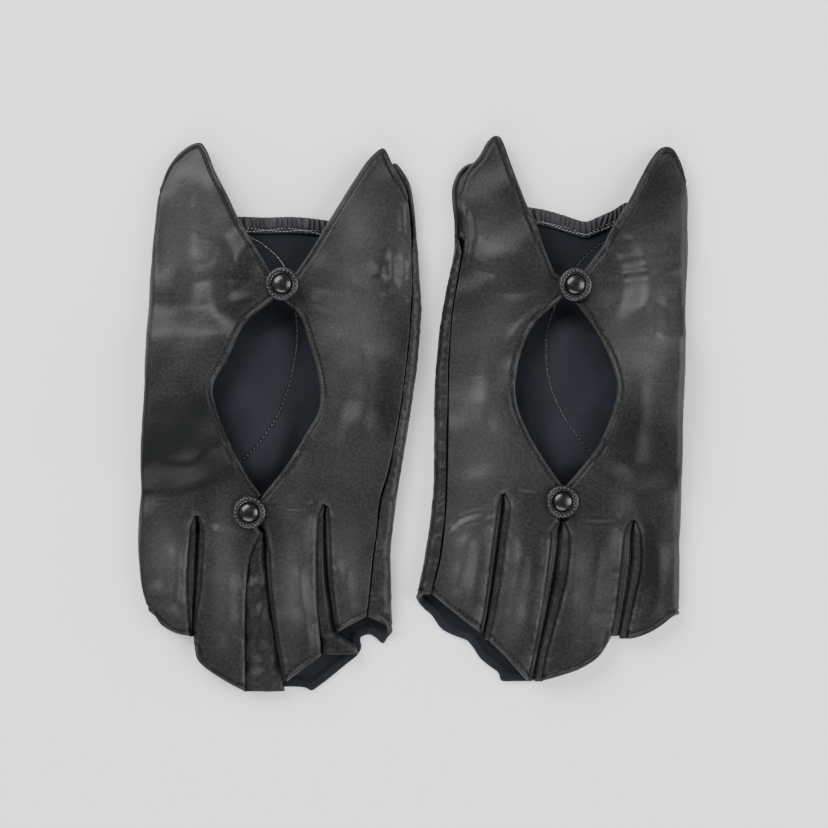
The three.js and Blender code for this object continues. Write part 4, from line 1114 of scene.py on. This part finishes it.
def bead_rim_tree():
    """Equal beads round a circle."""
    if "Bead rim" in bpy.data.node_groups:
        return bpy.data.node_groups["Bead rim"]
    tree, given, taken = node_group("Bead rim", [
        ("Beads", "NodeSocketInt", 24), ("Rim radius", "NodeSocketFloat", 0.0046),
        ("Bead radius", "NodeSocketFloat", 0.0005), ("Centre", "NodeSocketVector", None),
        ("Finish", "NodeSocketMaterial", None)])
    circle = wired(tree, "GeometryNodeCurvePrimitiveCircle", {"Resolution": 96,
                                                              "Radius": given.outputs["Rim radius"]})
    spaced = wired(tree, "GeometryNodeCurveToPoints", {"Curve": circle.outputs[0],
                                                       "Count": given.outputs["Beads"]}, mode="COUNT")
    moved = wired(tree, "GeometryNodeSetPosition", {"Geometry": spaced.outputs[0],
                                                    "Offset": given.outputs["Centre"]})
    ball = wired(tree, "GeometryNodeMeshUVSphere", {"Segments": 12, "Rings": 8,
                                                    "Radius": given.outputs["Bead radius"]})
    size = wired(tree, "ShaderNodeCombineXYZ", {"X": 1.0, "Y": 1.0, "Z": 0.8})
    close_tree(tree, given, taken, moved.outputs[0], ball.outputs[0], None, size.outputs[0])
    return tree


def made_by(name, source, tree, values):
    """Runs a node tree on the source object and returns its result as a plain mesh piece."""
    modifier = source.modifiers.new("Rule", "NODES")
    modifier.node_group = tree
    for item in tree.interface.items_tree:
        if item.in_out == "INPUT" and item.name in values:
            modifier[item.identifier] = values[item.name]
    graph = bpy.context.evaluated_depsgraph_get()
    graph.update()
    mesh = bpy.data.meshes.new_from_object(source.evaluated_get(graph), depsgraph=graph)
    mesh.name = name
    mesh.materials.clear()
    mesh.materials.append(values["Finish"])
    mesh.polygons.foreach_set("material_index", np.zeros(len(mesh.polygons), np.int32))
    data = source.data
    bpy.data.objects.remove(source)
    (bpy.data.curves if isinstance(data, bpy.types.Curve) else bpy.data.meshes).remove(data)
    if not mesh.polygons:
        raise RuntimeError(f"{name} came out empty")
    piece = bpy.data.objects.new(name, mesh)
    bpy.context.scene.collection.objects.link(piece)
    return piece


def stitches(name, lines, thread, pitch=1.0):
    """Rows of stitches along lines of points in metres."""
    curve = bpy.data.curves.new(name + "_rows", "CURVE")
    curve.dimensions = "3D"
    for line in lines:
        spline = curve.splines.new("POLY")
        spline.points.add(len(line) - 1)
        spline.points.foreach_set("co", np.hstack([line, np.ones((len(line), 1))]).ravel())
    source = bpy.data.objects.new(name + "_rows", curve)
    bpy.context.scene.collection.objects.link(source)
    size = sizes()
    return made_by(name, source, stitch_row_tree(), {
        "Pitch": size.stitch_pitch * pitch, "Stitch length": size.stitch_length * pitch,
        "Thread": size.thread, "Finish": finish(thread)})


def beads(name, centre, rim):
    source = bpy.data.objects.new(name + "_rim", bpy.data.meshes.new(name + "_rim"))
    bpy.context.scene.collection.objects.link(source)
    size = sizes()
    return made_by(name, source, bead_rim_tree(), {
        "Beads": size.cap_beads, "Rim radius": rim, "Bead radius": size.bead_radius, "Centre": tuple(centre),
        "Finish": finish("cap_enamel")})


# ---------------------------------------------------------------- pattern outlines of one glove


def tab(centre, angles):
    """The rounded end of a wrist flap, between two angles in degrees."""
    turn = np.radians(np.linspace(*angles[::-1], 16))
    return list(zip(centre[0] + TAB_RADIUS * np.cos(turn), centre[1] + TAB_RADIUS * np.sin(turn)))


def centre_line(hand, shift):
    """Where one half of the back meets the other at the rivet."""
    p = hand.pattern
    return [(u + shift, v) for u, v in (p["index_window"][-1], p["rivet"])]


def index_fold(hand, points):
    """Points given as (leather past the start of the index-side fold, v) in flat pattern points."""
    return [(float(hand.index(v)) + FOLD_RADIUS - q, v) for q, v in points]


def little_fold(hand, points):
    return [(float(hand.little(v)) - FOLD_RADIUS + q, v) for q, v in points]


def index_half(hand):
    """Outline of the index half of the back, and its hemmed and sewn edges."""
    p = hand.pattern
    low = p["index_fold_end"][-1][1]
    wrap = [(FOLD_LENGTH + UNDER_STRIP, v) for v in np.linspace(low + 2, 40, 12)]
    end = p["index_end"] + index_fold(hand, p["index_fold_end"])
    side = index_fold(hand, wrap + [(12.6, 45), (9.5, 50), (6.6, 54.5)] + p["index_ear_side"])
    ear = side[-1:] + p["index_ear"]
    parts = [centre_line(hand, -SEAM_GAP / 2), p["mr_middle"], p["middle_end"], p["im_middle"][::-1],
             p["im_index"], end, side, ear, tab(p["snap"], p["index_tab"]), p["index_window"]]
    hems = [end, p["middle_end"], ear, p["index_window"]]
    seams = [p["mr_middle"], p["im_middle"], p["im_index"]]
    return outline(parts), hems, seams


def little_half(hand):
    """Outline of the little half of the back, and its hemmed and sewn edges."""
    p = hand.pattern
    parts = [centre_line(hand, SEAM_GAP / 2), p["mr_ring"], p["ring_end"], p["rl_ring"][::-1], p["rl_little"],
             p["little_end"], p["side_seam"][::-1], p["little_ear_out"][::-1], p["little_ear_v"][::-1],
             tab(p["snap"], p["little_tab"]), p["little_window"]]
    hems = [p["ring_end"], p["little_end"], p["little_ear_out"], p["little_ear_v"], p["little_window"]]
    seams = [p["mr_ring"], p["rl_ring"], p["rl_little"]]
    return outline(parts), hems, seams


def index_side_line(hand, heights):
    """Where the palm meets the strip of the back that comes round the index side."""
    return [(float(hand.index(v)) + mix(1.6, 6.3, float(ease((50 - v) / 10))), v) for v in heights]


def narrow_slit(one, other):
    """Both sides of the palm's cut between two fingers, midway between the two edges of the back's."""
    (u_one, v_one), (u_other, v_other) = np.array(one).T, np.array(other).T
    v = np.linspace(max(v_one[-1], v_other[-1]), v_one[0], 24)
    middle = (np.interp(-v, -v_one, u_one) + np.interp(-v, -v_other, u_other)) / 2
    return list(zip(middle - PALM_CUT / 2, v)), list(zip(middle + PALM_CUT / 2, v))[::-1]


def palm_outline(hand):
    """Outline of the palm, which runs on round the little side up to the side seam, its hems and seams."""
    p = hand.pattern
    low = p["index_fold_end"][-1][1]
    seam_u, seam_v = np.array(p["side_seam"][::-1]).T
    heights = np.linspace(seam_v[0] - 0.3, 56, 60)
    taken = FOLD_LENGTH + hand.little(heights) - FOLD_RADIUS - np.interp(heights, seam_v, seam_u) - 0.05
    side = little_fold(hand, list(zip(taken, heights)))
    corner = index_side_line(hand, [low])[0]
    index_end = [corner] + [q for q in p["index_end"][::-1] if q[0] > corner[0] + 0.8]
    wrist = little_fold(hand, [(taken[-1] - 1, 57.2), (8.5, 59.8), (5, 61.6), (2, 62.4)])
    up, down = narrow_slit(p["im_index"], p["im_middle"])
    little_end = p["palm_little"] + little_fold(hand, p["palm_fold_end"])
    parts = [p["cuff"], index_side_line(hand, [58, 54]), p["thumb_seam"],
             index_side_line(hand, [-20.5, -40, low]), index_end, up, down, p["palm_middle"],
             p["palm_middle_slit"], p["palm_ring_slit"], p["palm_ring"], little_end, side, wrist]
    hems = [index_end, p["palm_middle"], p["palm_ring"], little_end, p["cuff"]]
    return outline(parts), hems, [p["thumb_seam"], p["im_index"], p["im_middle"], p["palm_little_slit"]]


def thumb_base_outline(hand):
    """Outline of the panel inside the thumb seam, a little smaller so that it shuts against the palm."""
    seam = hand.pattern["thumb_seam"]
    side = index_side_line(hand, np.linspace(-20.5, 54, 16))
    return inward(outline([seam, side]), EDGE_ROWS[0]), [], [seam]


def rows_beside(loop, paths, place, offset, inset):
    """Lines of points in metres for the stitching beside each path, inside the outline."""
    rows = []
    for path in paths:
        line = even_line(smooth_line(path), STITCH_STEP)
        for side in (offset, -offset):
            moved = inward(line, side, closed=False)
            off, _ = distance(moved, line)
            moved = moved[off > 0.965 * offset]
            if inside(loop, moved[len(moved) // 2]):
                off, _ = distance(moved, loop, closed=True)
                moved = moved[off > 0.93 * offset]
                rows.append(place(moved, np.full(len(moved), inset)))
                break
    return rows


def inside(loop, point):
    """True if the point lies inside the outline, which then turns once round it."""
    a, b = loop - point, np.roll(loop, -1, axis=0) - point
    cross = a[:, 0] * b[:, 1] - a[:, 1] * b[:, 0]
    return abs(np.arctan2(cross, (a * b).sum(1)).sum()) > 3.0


def smooth_paths(paths):
    return [even_line(smooth_line(path), 0.6) for path in paths]


# ---------------------------------------------------------------- one operator for each kind of piece


class BuildBackPanels(Operator):
    """Lay the two halves of each glove's back, whose wrist flaps fold open, as they lie shut"""

    bl_idname = "gloves.back_panels"
    bl_label = "Back panels"

    def execute(self, context):
        for hand in HAND.values():
            for half, edge, flap, outer in ((index_half, "index", "outer_flap", True),
                                            (little_half, "little", "inner_flap", False)):
                loop, hems, seams = half(hand)
                piece = leather_sheet(f"{hand.name}_back_{edge}_leather", loop, back_place(hand, edge, outer),
                                      smooth_paths(hems), smooth_paths(seams), sheet_finishes(), hand=hand)
                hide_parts(f"{hand.name}_back_{edge}_side", f"{hand.name}_wrist_flap_{edge}")
                blended(piece, hand, edge, flap)
        return {"FINISHED"}


class BuildPalms(Operator):
    """Lay each palm, which comes round to the side seam, its thumb base and the strip behind the wrist"""

    bl_idname = "gloves.palms"
    bl_label = "Palms"

    def execute(self, context):
        for hand in HAND.values():
            for part, cut in (("palm", palm_outline), ("thumb_base", thumb_base_outline)):
                loop, hems, seams = cut(hand)
                piece = leather_sheet(f"{hand.name}_{part}_leather", loop, palm_place(hand),
                                      smooth_paths(hems), smooth_paths(seams), sheet_finishes(), hand=hand)
                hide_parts(f"{hand.name}_{part}")
                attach(piece, f"{hand.name}_glove")
            self.strip(hand)
        return {"FINISHED"}

    def strip(self, hand):
        """The end of the palm that stands out past the little-side wrist point."""
        outer = hand.pattern["little_strip"]
        inner = [(u - STRIP_REACH[0], v - STRIP_REACH[1]) for u, v in outer[1:]][::-1]

        def place(points, inset):
            u, v = points.T
            drop = 1.5 + 1.6 * ease((70 - v) / 9)
            return hand.place(u, v, hand.over(u, v) - hand.slack(u, v) + hand.relief(u, v) - drop - inset)

        loop = outline([outer, [outer[-1], inner[0]], inner, [inner[-1], outer[0]]])
        piece = leather_sheet(f"{hand.name}_wrist_side_strip", loop, place, smooth_paths([outer]), [],
                              sheet_finishes(), thickness=STRIP_LEATHER)
        blended(piece, hand, "little", "inner_flap")


class BuildThumbs(Operator):
    """Shape each thumb: a short hemmed tube folded in under the palm"""

    bl_idname = "gloves.thumbs"
    bl_label = "Thumbs"

    def execute(self, context):
        for hand in HAND.values():
            out = np.concatenate([np.linspace(-THUMB_TAIL, 0.0, 5)[:-1], np.linspace(0, 0.93, 26),
                                  np.linspace(0.945, 1, 8)])
            turn = np.linspace(0, 2 * np.pi, 96, endpoint=False)
            o, t = np.meshgrid(out, turn, indexing="ij")
            narrowing = (THUMB_ROOT_WIDTH - THUMB_TIP_WIDTH) / 2
            half = THUMB_ROOT_WIDTH / 2 - narrowing * np.clip(o, 0, 1)
            share = ease(-o / THUMB_TAIL)
            height = mix(THUMB_HEIGHT / 2 - 0.1, 0.45, share)
            middle = mix(THUMB_HEIGHT / 2, THUMB_HEIGHT - 0.25, share)
            c, s = np.cos(t), np.sin(t)
            across = half * np.sign(c) * np.abs(c) ** 0.55
            u = THUMB_ROOT[0] + o * THUMB_LENGTH
            v = THUMB_ROOT[1] + across + o * THUMB_LEAN
            soft = 0.09 * soft_noise(u, v, 9, hand.seed + 21) + 0.06 * soft_noise(u, v, 4, hand.seed + 22)
            hem = (1 - o) * THUMB_LENGTH
            groove = 0.22 * bump(hem - THUMB_HEM_STITCH, 0.35)
            z = middle + (height - groove) * np.sign(s) * np.abs(s) ** 0.8
            z = np.clip(z - np.abs(soft) * np.sign(s), TABLE_LIFT, THUMB_HEIGHT)
            thick = np.where(hem < THUMB_HEM, THUMB_HEM_LEATHER, THUMB_LEATHER) * np.where(o < 0, 0.4, 1) * MM
            outer = hand.place(u, v, z)
            outer = outer if hand.side < 0 else outer[:, ::-1]  # so that its faces point outward
            piece = shell(f"{hand.name}_thumb_leather", outer, thick, gusset_finishes(), closed_across=True)
            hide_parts(f"{hand.name}_thumb")
            self.bend(piece, hand)
            row = hand.place(u, v, z)[np.abs(hem[:, 0] - THUMB_HEM_STITCH).argmin()]
            sewn = stitches(f"{hand.name}_thumb_stitches", [np.vstack([row, row[:1]])], "thread")
            self.bend(sewn, hand)
        return {"FINISHED"}

    def bend(self, piece, hand):
        root_u, root_v = THUMB_ROOT
        before, after = THUMB_BEND
        hand.point(root_u - before, root_v, THUMB_HEIGHT / 2)
        hand.point(root_u + after, root_v, THUMB_HEIGHT / 2)
        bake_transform(piece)


class BuildGussets(Operator):
    """Shape the strips between the fingers, each a soft wall from the back down to the palm"""

    bl_idname = "gloves.gussets"
    bl_label = "Finger gussets"

    def execute(self, context):
        for hand in HAND.values():
            for between, walls in hand.pattern["gussets"].items():
                parts = [self.wall(hand, f"{hand.name}_gusset_{between}_{wall[0]}", wall, other)
                         for wall, other in (walls, walls[::-1])]
                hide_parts(f"{hand.name}_fourchette_{between}")
        return {"FINISHED"}

    def wall(self, hand, name, wall, other):
        """A wall that hangs from one edge of a finger slit and bulges toward the wall opposite."""
        edge, sign, knots, end = wall
        crotch = knots[0][0]
        v = (crotch + (end - crotch) * np.linspace(0, 1, 64))[:, None]
        turn = np.linspace(np.pi / 2, -np.pi / 2, 30)[None, :]
        lines = (np.array(hand.pattern[key]) for key in (edge, other[0]))
        u_edge, u_other = (np.interp(-v, -line[:, 1], line[:, 0]) for line in lines)
        own, theirs = (np.interp(-v, [-k[0] for k in table], [k[1] for k in table])
                       for table in (knots, other[2]))
        width = GUSSET_OVERLAP * np.abs(u_other - u_edge)
        crowd = np.where(v > other[3], np.clip(width / (own + theirs), 0, GUSSET_GROWTH), 1.0)
        reach = np.maximum(own * crowd, 0.12)
        tuck = 0.8 * np.clip((crotch - v) / 4, 0.15, 1)
        flat = v * 0 + u_edge
        over = hand.over(flat, v) - hand.slack(flat, v)
        over = over + hand.relief(flat.ravel(), v.ravel()).reshape(flat.shape)
        leather = sizes().leather / MM
        high, low = over - leather - 0.35, hand.under(flat, v) + leather + 0.1
        c, s = np.abs(np.cos(turn)), np.sin(turn)
        broad = ease((reach - 3.5) / 4)
        u = u_edge - sign * tuck + sign * (reach + tuck) * c ** mix(0.75, 0.42, broad)
        z = (high + low) / 2 + (high - low) / 2 * np.sign(s) * np.abs(s) ** mix(0.9, 0.75, broad)
        upper = ease(s * 2)
        from_edge = np.abs(u - u_edge) / reach
        ridge = bump(from_edge - 0.55, 0.16) * 0.32 + bump(from_edge - 0.14, 0.08) * 0.16
        v = np.broadcast_to(v, u.shape)
        wave = 0.14 * soft_noise(u.ravel(), v.ravel(), 7, hand.seed + 31).reshape(u.shape)
        z = z + upper * (ridge * np.clip(reach / 1.5, 0, 1) + wave * broad * 2.2)
        outer = hand.place(u, v, z)
        outer = outer if sign * hand.side > 0 else outer[:, ::-1]
        piece = shell(name, outer, GUSSET_LEATHER * MM, gusset_finishes())
        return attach(piece, f"{hand.name}_glove")


class BuildWristElastic(Operator):
    """Gather the elastic band inside each wrist and sew it down with a zigzag"""

    bl_idname = "gloves.wrist_elastic"
    bl_label = "Wrist elastic"

    def execute(self, context):
        size = sizes()
        for hand in HAND.values():
            cuff = even_line(smooth_line(hand.pattern["cuff"]), ELASTIC_STEP)
            middle = (hand.index(62.0) + hand.little(62.0)) / 2
            cuff = cuff[np.abs(cuff[:, 0] - middle) < ELASTIC_LENGTH / 2]
            along = np.arange(len(cuff)) * ELASTIC_STEP
            share = np.linspace(0, 1, 16)
            s, t = np.meshgrid(along, share, indexing="ij")
            wander = 0.9 * soft_noise(s.ravel(), t.ravel() * 3, 6, hand.seed + 41).reshape(s.shape)
            pleat = np.sin(2 * np.pi * s / (size.ruffle_pitch / MM) + wander + 1.2 * t)
            u = cuff[:, None, 0] + 0.05 * pleat
            v = cuff[:, None, 1] - ELASTIC_INSET - ELASTIC_WIDTH * share[None, :] + 0.12 * pleat * (1 - t)
            lift = ELASTIC_THICKNESS * np.sin(np.pi * np.clip(0.08 + 0.9 * t, 0, 1)) ** 0.5
            gather = 0.42 * pleat * (0.35 + 0.65 * np.sin(np.pi * t ** 0.7))
            z = hand.under(u, v) + 1.5 + lift * 0.75 + gather
            z = z - 0.42 * bump((t - ZIGZAG_ROW) * ELASTIC_WIDTH, 0.55)
            outer = hand.place(u, v, z)
            outer = outer if hand.side > 0 else outer[:, ::-1]
            piece = shell(f"{hand.name}_wrist_elastic_band", outer, ELASTIC_CLOTH * MM,
                          [finish("elastic")] * 2)
            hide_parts(f"{hand.name}_wrist_elastic")
            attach(piece, f"{hand.name}_glove")
            self.zigzag(hand, cuff)
        return {"FINISHED"}

    def zigzag(self, hand, cuff):
        steps = cuff[::4]
        swing = np.where(np.arange(len(steps)) % 2, ZIGZAG_SWING, -ZIGZAG_SWING)
        v = steps[:, 1] - ELASTIC_INSET - ELASTIC_WIDTH * ZIGZAG_ROW + swing
        z = hand.under(steps[:, 0], v) + 1.5 + ELASTIC_THICKNESS * 0.55
        line = hand.place(steps[:, 0], v, z)
        row = stitches(f"{hand.name}_wrist_elastic_zigzag", [line], "elastic_thread", 0.8)
        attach(row, f"{hand.name}_glove")


class BuildStitching(Operator):
    """Sew the hems of the back and the curved thumb seam inside the palm"""

    bl_idname = "gloves.stitching"
    bl_label = "Stitching"

    def execute(self, context):
        size = sizes()
        offset = size.hem_stitch / MM
        for hand in HAND.values():
            p = hand.pattern
            for half, edge, flap, outer, paths in (
                    (index_half, "index", "outer_flap", True, [p["index_ear"], p["index_window"]]),
                    (little_half, "little", "inner_flap", False,
                     [p["little_ear_v"], p["little_ear_out"], p["little_window"], p["ring_end"],
                      p["little_end"]])):
                rows = rows_beside(half(hand)[0], paths, back_place(hand, edge, outer), offset, 0.14)
                sewn = stitches(f"{hand.name}_back_{edge}_stitches", rows, "thread")
                blended(sewn, hand, edge, flap)
            line = even_line(smooth_line(p["thumb_seam"]), STITCH_STEP)
            row = palm_place(hand)(line, np.full(len(line), size.leather / MM + 0.42))
            sewn = stitches(f"{hand.name}_thumb_seam_stitches", [row], "seam_thread")
            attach(sewn, f"{hand.name}_glove")
        return {"FINISHED"}


def cap(hand, which, body):
    """A cap of one snap or rivet: an enamelled rim with beads round it and a glossy dome."""
    low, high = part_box(f"{hand.name}_{which}_ring")
    centre = Vector(((low.x + high.x) / 2, (low.y + high.y) / 2, low.z))
    size = sizes()
    r, dome = size.cap_radius / MM, size.dome_radius / MM
    rim = rounded_profile([(CAP_HOLE, 0, 0), (r - 0.5, 0, 0.4), (r, 0.55, 0.35), (r - 0.25, 1.25, 0.35),
                           (r - 0.75, 1.55, 0.3), (dome + 0.75, 1.3, 0.2), (dome + 0.45, 1.5, 0.2),
                           (dome + 0.12, 1.2, 0.15), (dome + 0.1, 0.5, 0.1), (CAP_HOLE, 0.5, 0)], 4)
    ring = lathe(f"{hand.name}_{which}_cap_rim", rim, centre, [finish("cap_enamel")], 96)
    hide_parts(f"{hand.name}_{which}_ring")
    low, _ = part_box(f"{hand.name}_{which}_dome")
    turn = np.linspace(0, np.pi / 2, 18)[:-1]
    arch = [(dome * math.cos(a), 0.7 + 1.6 * math.sin(a) ** 0.9) for a in turn]
    profile = [(0, 0), (dome - 0.15, 0), (dome - 0.05, 0.1)] + arch + [(0, 2.3)]
    base = (centre.x, centre.y, low.z)
    glossy = lathe(f"{hand.name}_{which}_cap_dome", profile, base, [finish("dome_gloss")], 96)
    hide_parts(f"{hand.name}_{which}_dome")
    row = beads(f"{hand.name}_{which}_cap_beads", centre + Vector((0, 0, 1.5 * MM)), (r - 1.0) * MM)
    for piece, slot in ((ring, "cap_metal"), (row, "cap_metal"), (glossy, "cap_dome")):
        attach(piece, body)


def washer(name, node, body, corners):
    """A turned steel part that stands for a node, seated at the node's own base."""
    low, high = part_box(node)
    centre = ((low.x + high.x) / 2, (low.y + high.y) / 2, low.z)
    piece = lathe(name, rounded_profile(corners), centre, [finish("snap_steel")])
    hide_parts(node)
    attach(piece, body)


def washer_and_shank(name, node, body):
    """A washer behind the leather with the shank that holds a cap or a stud, as tall as its node."""
    low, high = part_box(node)
    tall = (high.z - low.z) / MM
    washer(name, node, body, [(0, 0, 0), (FLANGE, 0, 0.2), (FLANGE, SHEET_METAL, 0.2),
                              (SHANK, SHEET_METAL, 0.15), (SHANK, tall, 0.2), (0, tall, 0)])


class BuildSnaps(Operator):
    """Turn the wrist snaps: cap, socket and spring on the outer flap, post and stud on the inner one"""

    bl_idname = "gloves.snaps"
    bl_label = "Wrist snaps"

    def execute(self, context):
        for hand in HAND.values():
            outer, inner = f"{hand.name}_outer_flap", f"{hand.name}_inner_flap"
            cap(hand, "snap", outer)
            washer_and_shank(f"{hand.name}_snap_post_disc", f"{hand.name}_snap_post", inner)
            bulge, neck, top = STUD
            washer(f"{hand.name}_snap_stud_head", f"{hand.name}_snap_stud", inner,
                   [(1.5, 0, 0), (FLANGE, 0, 0.2), (FLANGE, SHEET_METAL, 0.2), (neck, SHEET_METAL, 0.15),
                    (bulge, 1.2, 0.3), (neck, top, 0.3), (1.5, top, 0.1)])
            low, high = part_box(f"{hand.name}_snap_socket")
            deep = (high.z - low.z) / MM
            groove, foot, head = SOCKET_GROOVE
            washer(f"{hand.name}_snap_socket_cup", f"{hand.name}_snap_socket", outer,
                   [(SOCKET_MOUTH, 0, 0.1), (SOCKET, 0, 0.3), (SOCKET, deep, 0.4), (1.5, deep, 0.1),
                    (1.5, deep - 0.4, 0.1), (SOCKET_MOUTH, deep - 0.4, 0.1), (SOCKET_MOUTH, head, 0.05),
                    (groove, head, 0.1), (groove, foot, 0.1), (SOCKET_MOUTH, foot, 0.05)])
            turn = np.linspace(0, 2 * np.pi, 16, endpoint=False)
            wire = [(SPRING_RING + SPRING_WIRE * math.cos(a), SPRING_WIRE + SPRING_WIRE * math.sin(a), 0)
                    for a in turn]
            washer(f"{hand.name}_snap_spring_wire", f"{hand.name}_snap_spring", outer, wire)
        return {"FINISHED"}


class BuildKnuckleRivets(Operator):
    """Turn the rivets that hold the back together at the foot of its opening"""

    bl_idname = "gloves.knuckle_rivets"
    bl_label = "Knuckle rivets"

    def execute(self, context):
        for hand in HAND.values():
            body = f"{hand.name}_glove"
            cap(hand, "knuckle", body)
            washer_and_shank(f"{hand.name}_knuckle_post_disc", f"{hand.name}_knuckle_post", body)
        return {"FINISHED"}


class BuildStage(Operator):
    """Set the pale floor, the soft lights and the camera straight above the gloves"""

    bl_idname = "gloves.stage"
    bl_label = "Stage"

    def execute(self, context):
        scene = context.scene
        shade = Shade("stage_floor")
        cloud = shade.noise(shade.place(), 3.0, 2.0)
        tone = tuple(tones().floor)
        paler = tuple(min(c * 1.02, 1) for c in tone[:3]) + (1,)
        colour = blended_mix(shade, cloud, tone, paler)
        shade.finish(Base_Color=colour, Roughness=0.85, Specular_IOR_Level=0.2)
        reach = FLOOR_REACH
        corners = [(-reach, -reach, 0), (reach, -reach, 0), (reach, reach, 0), (-reach, reach, 0)]
        floor = new_piece("stage_floor", corners, [(0, 1, 2, 3)], [shade.material])
        world = bpy.data.worlds.new("studio")
        world.use_nodes = True
        sky = world.node_tree.nodes["Background"]
        sky.inputs["Color"].default_value = (1, 1, 1, 1)
        sky.inputs["Strength"].default_value = WORLD_LIGHT
        scene.world = world
        for name, place, aim, size, power in SOFT_LIGHTS:
            self.light(name, Vector(place), Vector(aim), size, power)
        self.camera(scene)
        return {"FINISHED"}

    def light(self, name, place, aim, size, power):
        lamp = bpy.data.lights.new(name, "AREA")
        lamp.shape = "RECTANGLE"
        lamp.size, lamp.size_y = size
        lamp.energy = power
        made = bpy.data.objects.new(name, lamp)
        bpy.context.scene.collection.objects.link(made)
        made.location = place
        made.rotation_mode = "QUATERNION"
        made.rotation_quaternion = (aim - place).to_track_quat("-Z", "Y")

    def camera(self, scene):
        lens = bpy.data.cameras.new("above")
        lens.lens, lens.sensor_width = CAMERA_LENS
        made = bpy.data.objects.new("above", lens)
        scene.collection.objects.link(made)
        made.location = (*VIEW_CENTRE, VIEW_LEVEL + VIEW_WIDTH * lens.lens / lens.sensor_width)
        scene.camera = made


BUILDERS = (BuildBackPanels, BuildPalms, BuildThumbs, BuildGussets, BuildWristElastic, BuildStitching,
            BuildSnaps, BuildKnuckleRivets, BuildStage)


class GlovesPanel(Panel):
    """Sizes, colours and build steps of the gloves"""

    bl_idname = "VIEW3D_PT_gloves"
    bl_label = "Driving Gloves"
    bl_space_type = "VIEW_3D"
    bl_region_type = "UI"
    bl_category = "Gloves"

    def draw(self, context):
        for group in (context.scene.glove_sizes, context.scene.glove_colours):
            box = self.layout.box()
            for key in group.__annotations__:
                box.prop(group, key)
        for builder in BUILDERS:
            self.layout.operator(builder.bl_idname)


CLASSES = (GloveSizes, GloveColours, *BUILDERS, GlovesPanel)


def register():
    for made in CLASSES:
        bpy.utils.register_class(made)
    bpy.types.Scene.glove_sizes = PointerProperty(type=GloveSizes)
    bpy.types.Scene.glove_colours = PointerProperty(type=GloveColours)


def unregister():
    del bpy.types.Scene.glove_colours
    del bpy.types.Scene.glove_sizes
    for made in reversed(CLASSES):
        bpy.utils.unregister_class(made)


def main():
    register()
    for builder in BUILDERS:
        group, step = builder.bl_idname.split(".")
        getattr(getattr(bpy.ops, group), step)()


if __name__ == "__main__":
    main()
